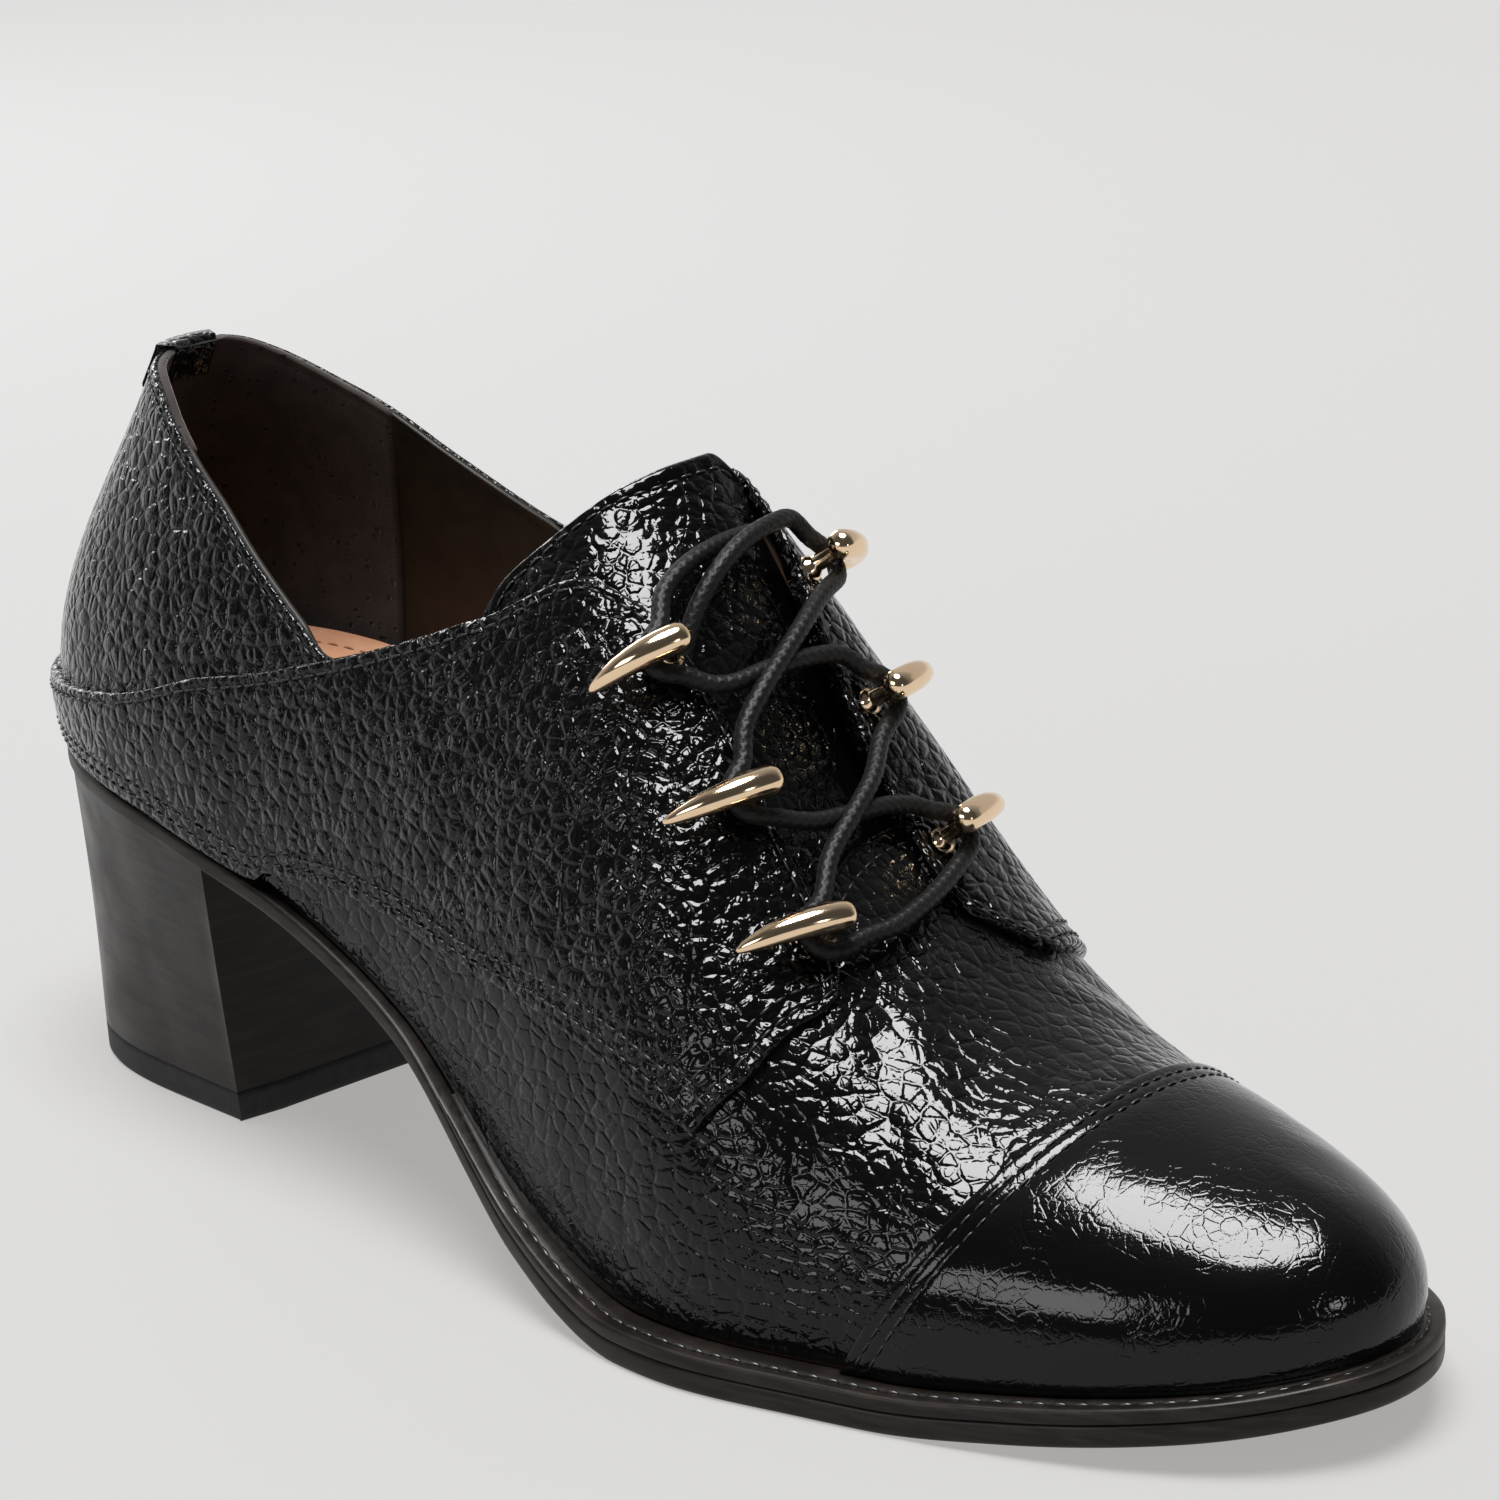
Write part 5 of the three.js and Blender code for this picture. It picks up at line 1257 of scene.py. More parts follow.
    def heel_part(self, foot_mm: float, top_mm: float | None, levels: int) -> tuple[Array, list]:
        """A stretch of the heel between two heights.

        Args:
            foot_mm: its lower height.
            top_mm: its upper height, or None for the seat.
            levels: rings between.

        Returns:
            Points and faces.
        """
        rings = []
        for i in range(levels + 1):
            t = i / levels
            if top_mm is None:
                share = foot_mm / HEEL_HEIGHT + (1 - foot_mm / HEEL_HEIGHT) * t
                hollow = 0.35 * math.sin(math.pi * t)
                ring = self.heel_ring(0.0, share, hollow)
                ceiling = LAST.sole_bottom(ring[:, 0]) + 0.25
                ring[:, 2] = foot_mm * (1 - t) + ceiling * t
            else:
                height = foot_mm + (top_mm - foot_mm) * t
                ease = 0.35 if i in (0, levels) else 0.0
                ring = self.heel_ring(0.0, height / HEEL_HEIGHT, ease)
                ring[:, 2] = height
            rings.append(ring)
        count = len(rings[0])
        faces: list[tuple[int, ...]] = []
        for i in range(len(rings) - 1):
            for j in range(count):
                k = (j + 1) % count
                faces.append((i * count + j, i * count + k, (i + 1) * count + k, (i + 1) * count + j))
        faces.append(tuple(reversed(range(count))))
        faces.append(tuple((len(rings) - 1) * count + j for j in range(count)))
        return np.concatenate(rings), faces

    def heel(self) -> None:
        """The stacked heel and its rubber lift."""
        block = make_object("heel_stack_block", *self.heel_part(LIFT_THICK + 0.15, None, 14))
        sharpen(block, 40)
        dress(block, "heel_stack", self.finishes.heel, "heel_block")
        lift = make_object("heel_lift_rubber", *self.heel_part(0.0, LIFT_THICK, 8))
        sharpen(lift, 40)
        dress(lift, "heel_lift", self.finishes.lift, "heel_top_lift")

    def build(self) -> None:
        """Builds every piece of the sole."""
        self.outsole()
        self.welt()
        self.welt_stitches()
        self.insole()
        self.heel()


HIDDEN = Border()


class Upper:
    """The leather pieces of the upper and their linings."""

    def __init__(self, finishes: Finishes) -> None:
        """Keeps the finishes and starts the thread rows."""
        self.finishes = finishes
        self.thread = Stitches(length=1.9, pitch=2.5, width=0.42)

    def quarter(self, side: Side) -> Patch:
        """The panel of a quarter with its facing."""
        lateral = side is Side.LATERAL
        topline = TOPLINE_LATERAL if lateral else TOPLINE_MEDIAL
        facing = FACING_LATERAL if lateral else FACING_MEDIAL
        front = FRONT_LATERAL if lateral else FRONT_MEDIAL
        low = ((0.0, 0.0), (1.5, 0.0), (3.1, 0.0)) + WING_SEAM
        high = REAR_SEAM + topline[NOTCH_ROW:] + facing[1:]
        back = ((0.0, 0.0), (0.0, 0.155))
        return Patch(
            *(Line(on_side(side, rows)) for rows in (low, high, back, front)),
            QUARTER_LEVEL, LINING_LEVEL + 0.05, Border(0.5, (1.9, 3.9)),
            Border(0.6, (1.8,)), Border(0.3), Border(0.55, (1.9, 3.9)),
        )

    def add_panel(self, patch: Patch, side: Side, name: str) -> bpy.types.Object:
        """A closed object from a panel, its faces turned outward on either side."""
        outer, inner = patch.faces()
        if side is Side.MEDIAL:
            outer, inner = outer[:, ::-1], inner[:, ::-1]
        shell = Shell()
        shell.add(outer, inner)
        return shell.build(name)

    def quarters(self) -> None:
        """Both quarters and their thread."""
        for side in Side:
            label = side.name.lower()
            patch = self.quarter(side)
            piece = self.add_panel(patch, side, f"upper_quarter_{label}")
            dress(piece, "patent_leather", self.finishes.side, f"quarter_{label}")
            for border in ("low", "front"):
                for row in (1.9, 3.9):
                    self.thread.on_last(patch.seam(border, row), QUARTER_LEVEL - 0.05)
            self.thread.on_last(patch.seam("high", 1.8), QUARTER_LEVEL - 0.05)

    def collar_panel(self) -> None:
        """The back panel from seam to collar, in one piece round the heel."""
        outer_shell = Shell()
        for side in Side:
            topline = TOPLINE_LATERAL if side is Side.LATERAL else TOPLINE_MEDIAL
            low = [(at, up - 0.05) for at, up in REAR_SEAM[:-1]] + [(5.0, 0.42), (5.6, 0.47)]
            high = list(topline[: NOTCH_ROW + 1]) + [(5.62, topline[NOTCH_ROW][1] - 0.004)]
            back = ((0.0, low[0][1]), (0.0, 1.0))
            front = ((5.6, 0.47), (5.62, high[-1][1]))
            patch = Patch(
                *(Line(on_side(side, rows)) for rows in (low, high, back, front)),
                UPPER_LEVEL, UPPER_LEVEL - LEATHER, HIDDEN, Border(0.4, (1.6,)), HIDDEN, HIDDEN,
            )
            outer, inner = patch.faces()
            if side is Side.MEDIAL:
                outer, inner = outer[:, ::-1], inner[:, ::-1]
            outer_shell.add(outer, inner)
            self.thread.on_last(patch.seam("high", 1.6)[:-12], UPPER_LEVEL - 0.05)
        dress(outer_shell.build("upper_collar_panel"), "patent_leather", self.finishes.side, "upper")

    def vamp(self) -> None:
        """The vamp: its two wings, and the front from the throat to under the toe cap."""
        shell = Shell()
        wing_rows = np.linspace(0, 1, 26)
        top_end = 0.59

        def cover(u: Array) -> Array:
            """Share up that the vamp reaches at a station."""
            seam = np.interp(u, [r[0] for r in WING_SEAM], [r[1] for r in WING_SEAM])
            reach = np.clip((u - 4.3) / 1.2, 0.25, 1) * 0.09
            front_edge = np.interp(u, [r[0] for r in FRONT_LATERAL], [r[1] for r in FRONT_LATERAL])
            return np.maximum(seam + reach, np.minimum(front_edge + 0.09, top_end))

        stations = np.linspace(4.3, THROAT_END, 84)
        front = np.concatenate([
            THROAT_END + np.array([0.004, 0.012, 0.025, 0.05, 0.09]),
            np.linspace(THROAT_END + 0.13, LAST_STATION, 92),
        ])
        throat = Border(0.5, (1.8,))
        for side in Side:
            up = wing_rows[None, :] * cover(stations)[:, None]
            grid = (np.broadcast_to(stations[:, None], up.shape), side.value * (1 - up))
            outer, inner = LAST.at(*grid, UPPER_LEVEL + creases(*grid)), LAST.at(*grid, UPPER_LEVEL - LEATHER)
            if side is Side.MEDIAL:
                outer, inner = outer[:, ::-1], inner[:, ::-1]
            shell.add(outer, inner)
        low_up = wing_rows * top_end
        high_up = np.linspace(top_end, 1, 34)[1:]
        up = np.concatenate([low_up, high_up])
        across = np.concatenate([-(1 - up), (1 - up)[::-1][1:]])
        columns = np.concatenate([[THROAT_END], front])
        grid = np.meshgrid(columns, across, indexing="ij")
        flat = LAST.at(*grid, UPPER_LEVEL)
        distance = run_along(flat)
        open_edge = (np.abs(grid[1]) < 1 - top_end - 1e-6).astype(float)
        level = UPPER_LEVEL - throat.drop(distance) * open_edge + creases(grid[0], grid[1])
        shell.add(LAST.at(*grid, level), LAST.at(*grid, UPPER_LEVEL - LEATHER))
        dress(shell.build("upper_vamp"), "patent_leather", self.finishes.vamp)
        edge = np.stack([np.full(60, THROAT_END + 0.09), np.linspace(-0.3, 0.1, 60)], -1)
        self.thread.on_last(edge, UPPER_LEVEL - 0.05)

    def toe_cap(self) -> None:
        """The toe cap over the vamp's front."""
        up = np.linspace(0, 1, 46)
        across = np.concatenate([-(1 - up), (1 - up)[::-1][1:]])
        starts = np.array([self.cap_start(a) for a in across])
        border = Border(0.5, (1.9, 3.9))
        runs = []
        for a, start in zip(across, starts):
            fine = np.linspace(start, LAST_STATION, 160)
            line = LAST.at(fine, np.full_like(fine, a), CAP_LEVEL)
            travelled = np.concatenate([[0], np.cumsum(np.linalg.norm(np.diff(line, axis=0), axis=1))])
            shares = spaced(np.array([travelled[-1]]), border, HIDDEN, 1.35)[0]
            runs.append((fine, travelled, shares))
        count = min(len(r[2]) for r in runs)
        near = len(border.steps())
        columns = []
        for fine, travelled, shares in runs:
            head = list(shares[:near])
            tail = np.linspace(head[-1], 1, count - near + 1)[1:]
            columns.append(np.interp(np.array(head + list(tail)) * travelled[-1], travelled, fine))
        stations = np.array(columns).T
        grid = (stations, np.broadcast_to(across[None, :], stations.shape))
        flat = LAST.at(*grid, CAP_LEVEL)
        distance = run_along(flat)
        shell = Shell()
        shell.add(LAST.at(*grid, CAP_LEVEL - border.drop(distance)), LAST.at(*grid, UPPER_LEVEL - 0.05))
        dress(shell.build("upper_toe_cap"), "patent_leather", self.finishes.cap, "toe_cap")
        for row in (1.9, 3.9):
            spots = [(float(np.interp(row, t, f)), a) for (f, t, _), a in zip(runs, across)]
            self.thread.on_last(np.array(spots), CAP_LEVEL - 0.08)

    @staticmethod
    def cap_start(across: float) -> float:
        """The station where the toe cap's seam crosses a place around."""
        low, high = 9.0, 14.0
        for _ in range(30):
            middle = (low + high) / 2
            x, _, z = LAST.at(np.array([middle]), np.array([across]), CAP_LEVEL)[0]
            if x < CAP_SEAM_ALONG * LENGTH + CAP_SEAM_LEAN * z:
                low = middle
            else:
                high = middle
        return (low + high) / 2

    def lining(self) -> None:
        """The lining: napped at the heel and smooth in front, under the whole upper."""
        for name, start, end, material, level in (
            ("lining_heel", 0.0, 3.35, self.finishes.pigskin, INNER_LEVEL - 0.5),
            ("lining_front", 3.15, THROAT_END, self.finishes.lining, INNER_LEVEL),
        ):
            shell = Shell()
            for side in Side:
                topline = TOPLINE_LATERAL if side is Side.LATERAL else TOPLINE_MEDIAL
                facing = FACING_LATERAL if side is Side.LATERAL else FACING_MEDIAL
                rows = list(topline) + [r for r in facing if topline[-1][0] < r[0] <= THROAT_END]
                limit = Line(rows)
                dense = limit(np.linspace(0, 1, 400))
                stations = np.linspace(start, end, int((end - start) * 18))
                top = np.interp(stations, dense[:, 0], dense[:, 1])
                top = top - np.where(stations > 7.9, 0.02, 0.0)
                share = np.concatenate([np.linspace(0, 0.95, 46), [0.965, 0.98, 0.99, 0.995, 1.0]])
                up = share[None, :] * top[:, None]
                grid = (np.broadcast_to(stations[:, None], up.shape), side.value * (1 - up))
                to_edge = (1 - share)[None, :] * top[:, None] * RIB_LENGTH
                rim = Border(0.4, (1.7,)).drop(to_edge)
                face, behind = LAST.at(*grid, level + rim), LAST.at(*grid, LINING_LEVEL)
                if side is Side.LATERAL:
                    face, behind = face[:, ::-1], behind[:, ::-1]
                shell.add(face, behind)
            dress(shell.build(name), "patent_leather", material)
        self.toe_lining()

    def toe_lining(self) -> None:
        """The lining under the vamp's front."""
        across = np.linspace(1, -1, 90)
        stations = np.linspace(THROAT_END, LAST_STATION, 70)
        grid = np.meshgrid(stations, across, indexing="ij")
        shell = Shell()
        shell.add(LAST.at(*grid, INNER_LEVEL), LAST.at(*grid, LINING_LEVEL))
        dress(shell.build("lining_toe"), "patent_leather", self.finishes.lining)

    def tongue(self) -> None:
        """The wide tongue, its top edge turned and sprung up off the last on the medial side."""
        top = np.array(TONGUE_TOP)
        rows = np.concatenate([np.linspace(-0.40, -0.02, 44), np.linspace(-0.01, 0.01, 3), np.linspace(0.02, 0.15, 22)])
        low = np.interp(rows, [top[0, 0], 0, top[-1, 0]], [TONGUE_END_REACH[0], 0, TONGUE_END_REACH[1]])
        padded = np.pad(np.interp(rows, top[:, 0], top[:, 1]), 3, mode="edge")
        smooth_top = np.convolve(padded, np.ones(7) / 7, mode="valid")
        share = np.concatenate([np.linspace(0, 0.9, 70), np.linspace(0.908, 1, 22)])[:, None]
        stations = TONGUE_END + (smooth_top[None, :] - TONGUE_END) * share
        across = low[None, :] + (rows - low)[None, :] * share
        t = np.clip((across + 0.22) / 0.26, 0, 1)
        spring = t * t * (3 - 2 * t) * share**8 * TONGUE_SPRING
        flat = self.relaxed(LAST.at(stations, across, TONGUE_LEVEL + spring))
        run = np.linalg.norm(np.diff(flat, axis=0), axis=-1)
        from_top = np.concatenate([np.cumsum(run[::-1], axis=0)[::-1], np.zeros((1, flat.shape[1]))])
        side = np.linalg.norm(np.diff(flat, axis=1), axis=-1)
        from_lateral = np.concatenate([np.zeros((flat.shape[0], 1)), np.cumsum(side, axis=1)], axis=1)
        from_medial = from_lateral[:, -1:] - from_lateral
        edge, plain = Border(0.8, (2.4,)), Border(0.8)
        fall = edge.drop(from_top) + plain.drop(from_lateral) + plain.drop(from_medial)
        outward = np.cross(np.gradient(flat, axis=0), np.gradient(flat, axis=1))
        outward /= -np.linalg.norm(outward, axis=-1, keepdims=True)
        shell = Shell()
        shell.add((flat - outward * fall[..., None])[::-1], (flat - outward * TONGUE_THICK)[::-1])
        dress(shell.build("tongue_leather"), "patent_leather", self.finishes.tongue, "tongue")
        row = np.argmin(np.abs(from_top - 2.4), axis=0)
        line = flat[row, np.arange(flat.shape[1])][4:-4]
        self.thread.along(line, outward[row, np.arange(flat.shape[1])][4:-4])

    @staticmethod
    def relaxed(grid: Array, times: int = 6) -> Array:
        """A grid of points smoothed across, its two side edges held."""
        for _ in range(times):
            grid[:, 1:-1] = 0.5 * grid[:, 1:-1] + 0.25 * (grid[:, 2:] + grid[:, :-2])
        return grid

    def back_tab(self) -> None:
        """The small folded tab over the collar's back."""
        halves = np.linspace(-0.95, 0.66, 21)
        rings = []
        for h in halves:
            station = abs(h)
            sign = -1.0 if h < 0 else 1.0
            low = 0.90
            ring = []
            for up, out in (
                (low, 0.1), (low + 0.01, 0.35), (0.96, 0.35), (1.0, 0.3),
                ("top", 0.05), ("top", -1.3), ("top", -2.9),
                (1.0, -3.4), (0.96, -3.5), (low + 0.01, -3.5), (low, -3.3),
            ):
                lift = 0.75 if up == "top" else 0.0
                share = 1.0 if up == "top" else float(up)
                p = LAST.at(np.array([station]), np.array([sign * (1 - share)]) + sign * 1e-9, out)[0]
                ring.append(p + np.array([0, 0, lift]))
            rings.append(ring)
        outer = np.array(rings)
        shell = Shell()
        centre = outer.mean(axis=1, keepdims=True)
        inner = np.array(outer)
        for i, row in enumerate(outer):
            way = np.gradient(row, axis=0)
            ahead = outer[min(i + 1, len(outer) - 1)] - outer[max(i - 1, 0)]
            normal = np.cross(ahead, way)
            normal /= np.linalg.norm(normal, axis=1, keepdims=True)
            outward = np.sign(((row - centre[i]) * normal).sum(axis=1).mean())
            inner[i] = row - normal * outward * 0.25
        shell.add(outer, inner)
        dress(shell.build("upper_back_tab"), "patent_leather", self.finishes.side, "back_tab")

    def build(self) -> None:
        """Builds every piece of the upper."""
        self.vamp()
        self.toe_cap()
        self.collar_panel()
        self.quarters()
        self.lining()
        self.tongue()
        self.back_tab()
        dress(self.thread.build("upper_thread"), "patent_leather", self.finishes.thread)


# Soft troughs and ridges of the vamp: station, across, lean, half width in stations, half reach across, height in mm
CREASES = (
    (10.45, -0.45, -0.55, 0.16, 0.30, -0.38), (10.78, -0.42, -0.60, 0.18, 0.34, 0.26),
    (11.12, -0.36, -0.60, 0.17, 0.30, -0.30),
    (10.60, 0.40, 0.50, 0.17, 0.28, -0.34), (10.95, 0.38, 0.55, 0.18, 0.30, 0.22),
    (10.05, -0.78, -0.30, 0.22, 0.16, -0.30),
    (9.55, -0.84, -0.20, 0.26, 0.12, 0.25), (10.72, 0.02, 0.10, 0.15, 0.22, -0.20),
)


def creases(station: Array, across: Array) -> Array:
    """Soft swells and troughs of the vamp, in millimetres."""
    height = np.zeros_like(station)
    for at, middle, lean, width, reach, rise in CREASES:
        along = (station - at - lean * (across - middle)) / width
        height += rise * np.exp(-(along**2)) * np.exp(-(((across - middle) / reach) ** 2))
    return height


class Hooks:
    """The gold horn-shaped lace hooks."""

    seat = UPPER_LEVEL + 0.6 + 1.4

    def __init__(self, finishes: Finishes) -> None:
        """Keeps the finishes."""
        self.finishes = finishes

    @classmethod
    def axes(cls, side: Side, row: Sequence[float]) -> tuple[Array, Array, Array, Array]:
        """A hook's foot, its direction up off the leather, away to the tip, and across."""
        at, up_share, tip_at, tip_up = row
        where = (np.array([at]), np.array([side.value * (1 - up_share)]))
        foot = LAST.at(*where, cls.seat)[0]
        up = LAST.normal(*where)[0]
        tip = LAST.at(np.array([tip_at]), np.array([side.value * (1 - tip_up)]), cls.seat)[0]
        away = tip - foot
        away = away - up * away.dot(up)
        away /= np.linalg.norm(away)
        return foot, up, away, np.cross(up, away)

    def hook(self, side: Side, index: int) -> None:
        """One hook: a horn on a leg."""
        foot, up, away, across = self.axes(side, HOOKS[side.name.lower()][index])
        height = HORN_CLEAR + HORN_WIDTH / 2 - 0.7
        shape = (
            (-0.132, 0.02), (-0.130, 0.22), (-0.120, 0.48), (-0.103, 0.72), (-0.077, 0.90), (-0.038, 0.99), (0.02, 1.0),
            (0.12, 1.0),
            (0.24, 0.97), (0.36, 0.90), (0.48, 0.80), (0.58, 0.68), (0.67, 0.53), (0.74, 0.37), (0.785, 0.22),
            (0.80, 0.03),
        )
        points: list[Array] = []
        faces: list[tuple[int, ...]] = []

        def add(rings: list[Array]) -> None:
            """Joins rings of points with quads."""
            base = sum(len(p) for p in points)
            count = len(rings[0])
            points.extend(rings)
            for i in range(len(rings) - 1):
                for j in range(count):
                    k = (j + 1) % count
                    faces.append((base + i * count + j, base + i * count + k, base + (i + 1) * count + k, base + (i + 1) * count + j))
            faces.append(tuple(base + j for j in reversed(range(count))))
            faces.append(tuple(base + (len(rings) - 1) * count + j for j in range(count)))

        turn = np.linspace(0, 2 * math.pi, 28, endpoint=False)
        _, _, tip_at, tip_up = HOOKS[side.name.lower()][index]
        where = (np.array([tip_at]), np.array([side.value * (1 - tip_up)]))
        tip = LAST.at(*where, self.seat)[0] + LAST.normal(*where)[0] * TIP_LIFT
        end = shape[-1][0]
        bend = tip - (foot + away * end * HORN_LENGTH + up * height)

        def axis(at: float) -> Array:
            """Centre of the horn at a share of its length."""
            return foot + away * at * HORN_LENGTH + up * height + bend * (max(at, 0) / end) ** 2.2

        rings = []
        for at, size in shape:
            way = axis(at + 0.01) - axis(at - 0.01)
            way /= np.linalg.norm(way)
            level = across - way * across.dot(way)
            level /= np.linalg.norm(level)
            rise = np.cross(level, way)
            radius = HORN_WIDTH / 2 * size
            rings.append(axis(at) + radius * (level[None] * np.cos(turn)[:, None] + rise[None] * np.sin(turn)[:, None]))
        add([ring[::-1] for ring in rings])
        leg = []
        for z, size in ((0.2, 1.5), (0.75, 1.35), (1.1, 1.05), (1.6, 0.95), (3.0, 0.95), (4.2, 1.0), (height, 1.1)):
            centre = foot + up * z
            leg.append(centre + LEG_WIDTH / 2 * size * (away[None] * np.cos(turn)[:, None] + across[None] * np.sin(turn)[:, None]))
        add([ring[::-1] for ring in leg])
        piece = make_object(f"hook_gold_{side.name.lower()}_{index + 1}", np.concatenate(points), faces)
        self.recalculate(piece)
        sharpen(piece, 60)
        dress(piece, "gold_metal", self.finishes.gold, f"hook_{side.name.lower()}_{index + 1}")

    @staticmethod
    def recalculate(piece: bpy.types.Object) -> None:
        """Turns every face of a piece outward."""
        work = bmesh.new()
        work.from_mesh(piece.data)
        bmesh.ops.recalc_face_normals(work, faces=work.faces)
        work.to_mesh(piece.data)
        work.free()

    def build(self) -> None:
        """Builds the six hooks."""
        for side in Side:
            for index in range(3):
                self.hook(side, index)


LateralHook, MedialHook = Side.LATERAL, Side.MEDIAL
# Runs of the lace: from hook, to hook, which side of each leg, and points of side, station, share up and lift
LACE_RUNS = (
    ((LateralHook, 0), (MedialHook, 1), "toe", "heel", (
        (-1, 8.84, 0.735, 2.9), (-1, 8.97, 0.780, 3.0), (-1, 9.06, 0.850, 3.0), (-1, 9.12, 0.920, 3.0),
        (-1, 9.16, 1.000, 3.0), (1, 9.17, 0.930, 3.0))),
    ((MedialHook, 1), (LateralHook, 2), "toe", "heel", (
        (1, 9.52, 0.945, 3.2), (-1, 9.66, 0.960, 4.0), (-1, 9.73, 0.870, 4.0), (-1, 9.76, 0.770, 3.4))),
    ((LateralHook, 2), (MedialHook, 2), "toe", "toe", (
        (-1, 10.13, 0.735, 2.9), (-1, 10.24, 0.800, 2.9), (-1, 10.29, 0.880, 2.9), (-1, 10.28, 0.970, 2.9))),
    ((MedialHook, 2), (LateralHook, 1), "heel", "toe", (
        (1, 9.83, 0.930, 3.0), (-1, 9.79, 0.970, 3.0), (-1, 9.72, 0.870, 3.0), (-1, 9.60, 0.780, 2.9))),
    ((LateralHook, 1), (MedialHook, 0), "heel", "toe", (
        (-1, 9.12, 0.745, 3.4), (-1, 9.10, 0.820, 4.0), (-1, 9.08, 0.890, 4.0), (-1, 9.03, 0.960, 4.0),
        (1, 8.90, 0.920, 3.4))),
)
LACE_TUCKS = (
    ((LateralHook, 0), (
        (-1, 8.42, 0.760, 2.6), (-1, 8.45, 0.820, 2.2), (-1, 8.50, 0.890, 1.6), (-1, 8.53, 0.960, 1.0),
        (1, 8.54, 0.985, 0.8))),
    ((MedialHook, 0), (
        (1, 8.50, 0.890, 3.8), (1, 8.55, 0.960, 4.0), (-1, 8.58, 0.950, 4.0), (-1, 8.60, 0.880, 3.4),
        (-1, 8.62, 0.820, 1.9), (-1, 8.65, 0.775, 0.2), (-1, 8.68, 0.742, -1.1))),
)


class Lace:
    """The waxed lace, from its tucked ends through every hook."""

    def __init__(self, finishes: Finishes) -> None:
        """Keeps the finishes."""
        self.finishes = finishes

    @staticmethod
    def free(rows: Iterable[Sequence[float]]) -> Array:
        """Points of the lace between hooks."""
        table = np.array(list(rows), float)
        across = table[:, 0] * (1 - table[:, 2])
        base = LAST.at(table[:, 1], across)
        return base + LAST.normal(table[:, 1], across) * table[:, 3:4]

    @staticmethod
    def round_leg(hook: tuple[Side, int], towards: str) -> Array:
        """Points round a hook's leg, from the side away from the throat."""
        side, index = hook
        foot, up, away, across = Hooks.axes(side, HOOKS[side.name.lower()][index])
        toeward = 1.0 if side is Side.LATERAL else -1.0
        way = toeward if towards == "toe" else -toeward
        radius = (LEG_WIDTH + LACE_WIDTH) / 2 + 2.6 * LACE_GAP
        level = PLATE_THICK + LACE_GAP + LACE_WIDTH / 2
        turn = np.radians([0, 30, 60, 90])[:, None]
        return foot + up * level + away * radius * np.cos(turn) + across * way * radius * np.sin(turn)

    @staticmethod
    def braid(along: Array, turn: Array) -> Array:
        """Radius of the braid: raised strands that cross both ways."""
        twist = 2 * math.pi * along / 1.5
        one = np.cos(6 * turn + twist)
        two = np.cos(6 * turn - twist)
        return LACE_WIDTH / 2 * 0.95 + 0.07 * np.maximum(one, two)

    @staticmethod
    def softened(line: Array, times: int = 72) -> Array:
        """A line with its kinks smoothed out, its ends held."""
        for _ in range(times):
            line[1:-1] = 0.5 * line[1:-1] + 0.25 * (line[2:] + line[:-2])
        return line

    def build(self) -> None:
        """Builds the lace as one object of braided lengths that join at the hooks."""
        all_points: list[Array] = []
        all_faces: list[tuple[int, ...]] = []
        lines = [
            np.concatenate([self.round_leg(a, leaves), self.free(rows), self.round_leg(b, meets)[::-1]])
            for a, b, leaves, meets, rows in LACE_RUNS
        ]
        lines += [np.concatenate([self.round_leg(hook, "heel"), self.free(rows)]) for hook, rows in LACE_TUCKS]
        for line in lines:
            points, faces = tube(self.softened(centripetal(line, 0.22)), self.braid, 30)
            base = sum(len(p) for p in all_points)
            all_points.append(points)
            all_faces += [tuple(base + v for v in face) for face in faces]
        piece = make_object("lace_braid", np.concatenate(all_points), all_faces)
        dress(piece, "waxed_lace", self.finishes.cord, "lace")


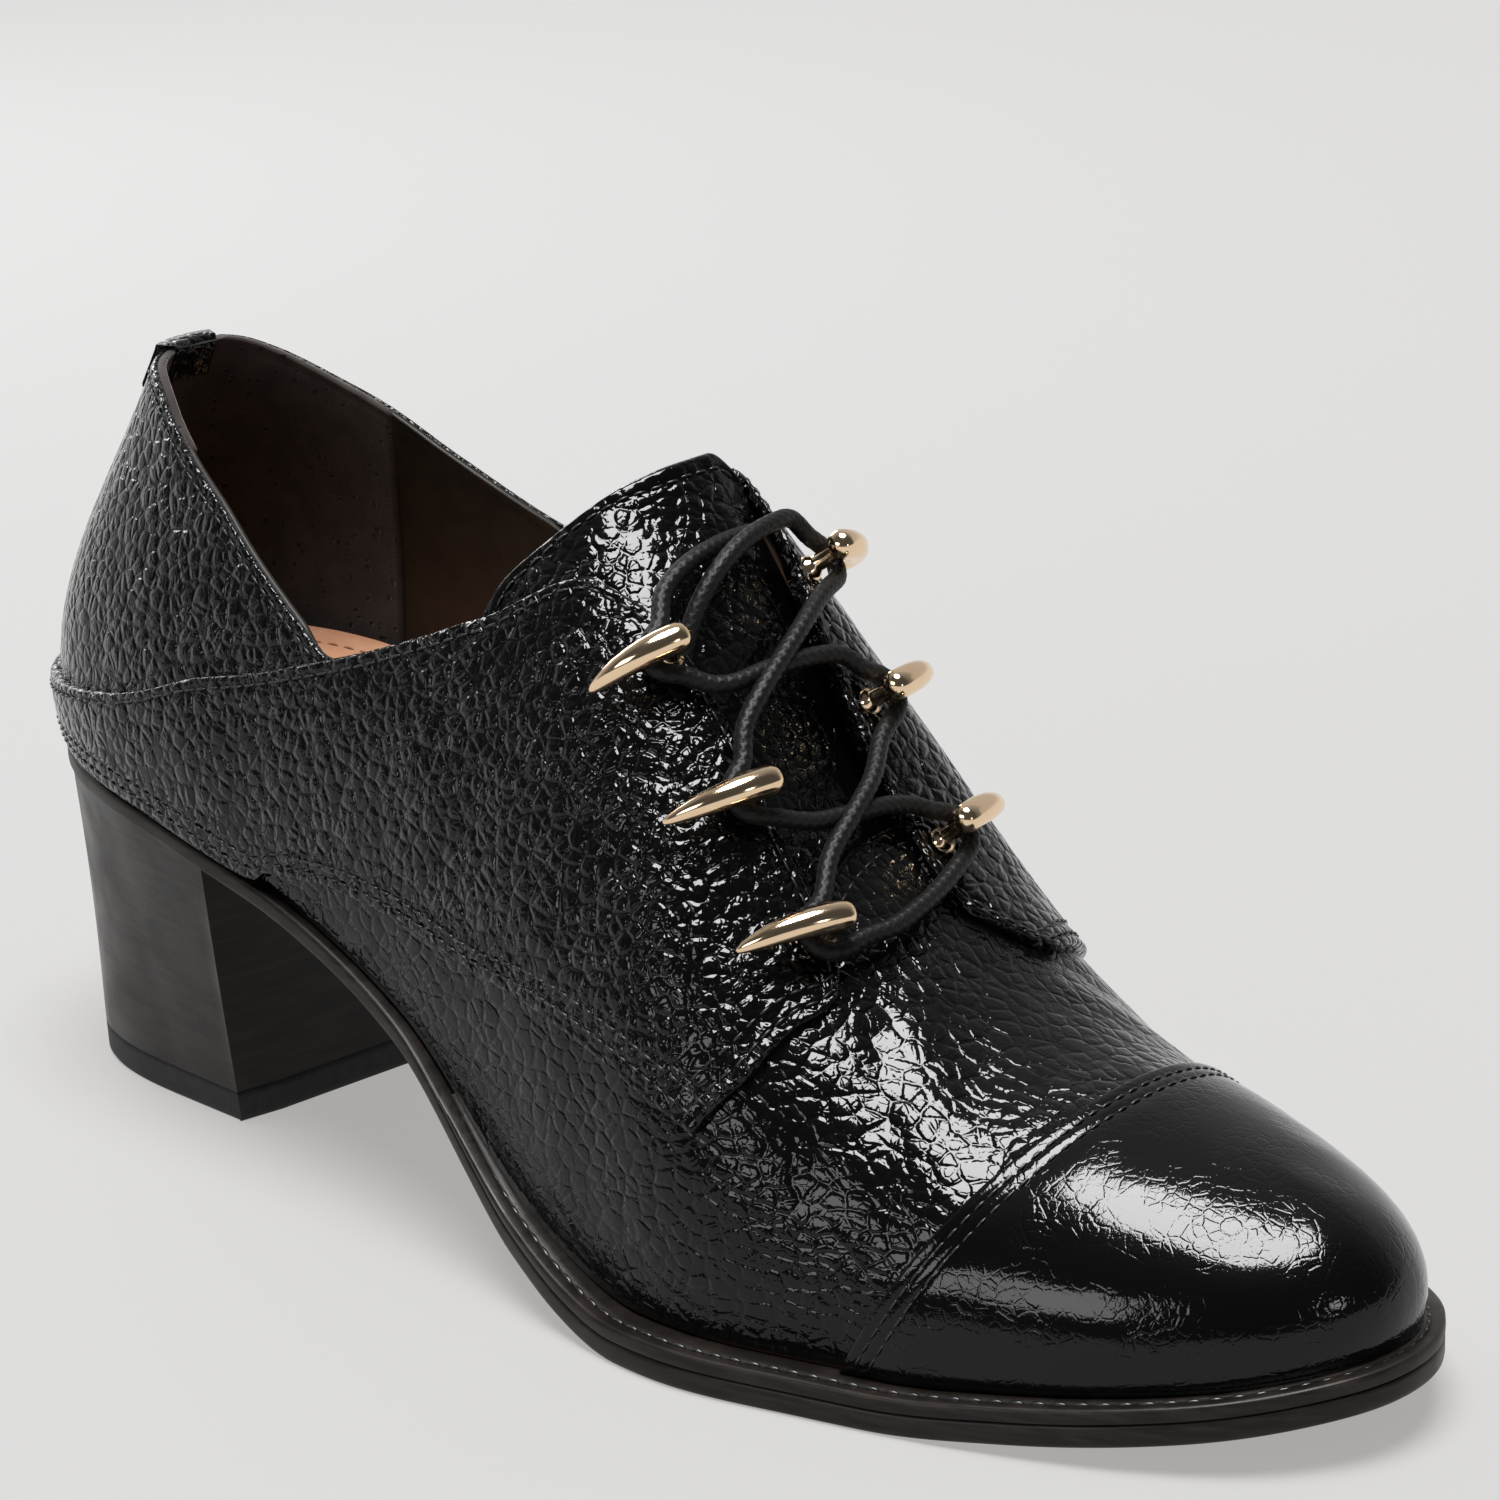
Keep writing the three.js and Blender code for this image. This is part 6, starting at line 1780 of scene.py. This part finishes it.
@dataclass
class Studio:
    """Camera, floor and lights."""

    focus_px: float = 5199.0
    picture_px: float = 1500.0
    elevation: float = 18.5
    azimuth: float = 46.2
    roll: float = -1.65
    distance: float = 730.0
    target: tuple[float, float, float] = (125.3, 11.5, 65.2)

    def camera(self) -> None:
        """The camera at the photo's angle."""
        e, a, r = (math.radians(x) for x in (self.elevation, self.azimuth, self.roll))
        back = Vector((math.cos(e) * math.cos(a), -math.cos(e) * math.sin(a), math.sin(e)))
        right = Vector((0, 0, 1)).cross(back).normalized()
        up = back.cross(right)
        right, up = right * math.cos(r) + up * math.sin(r), up * math.cos(r) - right * math.sin(r)
        data = bpy.data.cameras.new("camera")
        data.sensor_width = 36.0
        data.lens = 36.0 * self.focus_px / self.picture_px
        data.clip_start = 0.01
        eye = bpy.data.objects.new("camera", data)
        bpy.context.scene.collection.objects.link(eye)
        place = Vector(to_row(np.array(self.target))) + back * self.distance * MM
        eye.matrix_world = Matrix(
            ((right.x, up.x, back.x, place.x), (right.y, up.y, back.y, place.y), (right.z, up.z, back.z, place.z), (0, 0, 0, 1))
        )
        bpy.context.scene.camera = eye

    def light(
        self, name: str, place: Sequence[float], aim: Sequence[float], size: Sequence[float], power: float
    ) -> None:
        """A soft area light, its places in millimetres."""
        data = bpy.data.lights.new(name, "AREA")
        data.shape = "RECTANGLE"
        data.size, data.size_y = (x * MM for x in size)
        data.energy = power
        lamp = bpy.data.objects.new(name, data)
        bpy.context.scene.collection.objects.link(lamp)
        lamp.location = to_row(np.array(place, float))
        way = Vector(to_row(np.array(aim, float))) - lamp.location
        lamp.rotation_euler = way.to_track_quat("-Z", "Y").to_euler()

    def floor(self) -> None:
        """The pale floor, which curves up far behind."""
        rise = 1800 + 700 * np.sin(np.linspace(0.1, 1, 10) * math.pi / 2)
        along = np.concatenate([np.linspace(-6000, 1800, 10), rise, [2500]])
        high = np.concatenate([np.zeros(10), 700 * (1 - np.cos(np.linspace(0.1, 1, 10) * math.pi / 2)), [3200]])
        away = np.array([-math.cos(math.radians(self.azimuth)), math.sin(math.radians(self.azimuth))])
        side = np.array([away[1], -away[0]])
        rows = []
        for a, z in zip(along, high):
            for b in (-9000, 9000):
                spot = np.array([125.0, 10.0]) + away * a + side * b
                rows.append((spot[0], spot[1], z))
        faces = [(2 * i, 2 * i + 1, 2 * i + 3, 2 * i + 2) for i in range(len(along) - 1)]
        piece = make_object("floor", np.array(rows), faces)
        shader = Shader("floor_paper")
        shader.set(Base_Color=(0.162, 0.164, 0.166, 1), Roughness=0.9, Specular_IOR_Level=0.0)
        shader.set(Emission_Color=(1.0, 0.975, 0.955, 1), Emission_Strength=0.355)
        piece.data.materials.append(shader.finish())

    def overhead(self) -> None:
        """The wide soft light overhead, far off so that the floor is evenly pale."""
        data = bpy.data.lights.new("overhead_soft", "SUN")
        data.angle = math.radians(36)
        data.energy = 4.3
        lamp = bpy.data.objects.new("overhead_soft", data)
        bpy.context.scene.collection.objects.link(lamp)
        lamp.rotation_euler = Vector((-0.07, 0.12, -0.95)).to_track_quat("-Z", "Y").to_euler()

    def lights(self) -> None:
        """Soft studio lights, and a surround that is pale behind the shoe and dark in front."""
        self.overhead()
        self.light("side_strip", (130, -820, 320), (150, 0, 30), (420, 240), 1.0)
        self.light("toe_lamp", (760, -110, 170), (230, 0, 30), (90, 90), 0.12)
        self.light("back_box", (-700, 260, 420), (60, 0, 60), (500, 360), 2.2)
        world = bpy.data.worlds.new("studio")
        world.use_nodes = True
        tree = world.node_tree
        place = tree.nodes.new("ShaderNodeTexCoord")
        facing = tree.nodes.new("ShaderNodeVectorMath")
        facing.operation = "DOT_PRODUCT"
        facing.inputs[1].default_value = (-0.74, 0.67, 0.0)
        tree.links.new(place.outputs["Generated"], facing.inputs[0])
        shade = tree.nodes.new("ShaderNodeMapRange")
        for label, value in (("From Min", -0.2), ("From Max", 1.0), ("To Min", 0.08), ("To Max", 0.55)):
            shade.inputs[label].default_value = value
        tree.links.new(facing.outputs["Value"], shade.inputs["Value"])
        tree.nodes["Background"].inputs["Color"].default_value = (0.95, 0.97, 1.0, 1)
        tree.links.new(shade.outputs[0], tree.nodes["Background"].inputs["Strength"])
        bpy.context.scene.world = world
        bpy.context.scene.view_settings.view_transform = "Standard"
        bpy.context.scene.view_settings.look = "Medium High Contrast"


def main() -> None:
    """Builds the scene in order."""
    logging.basicConfig(level=logging.INFO, format="%(message)s")
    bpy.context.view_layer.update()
    studio = Studio()
    studio.camera()
    finishes = Finishes()
    Lace(finishes).build()
    Sole(finishes).build()
    Upper(finishes).build()
    Hooks(finishes).build()
    studio.floor()
    studio.lights()


if __name__ == "__main__":
    main()
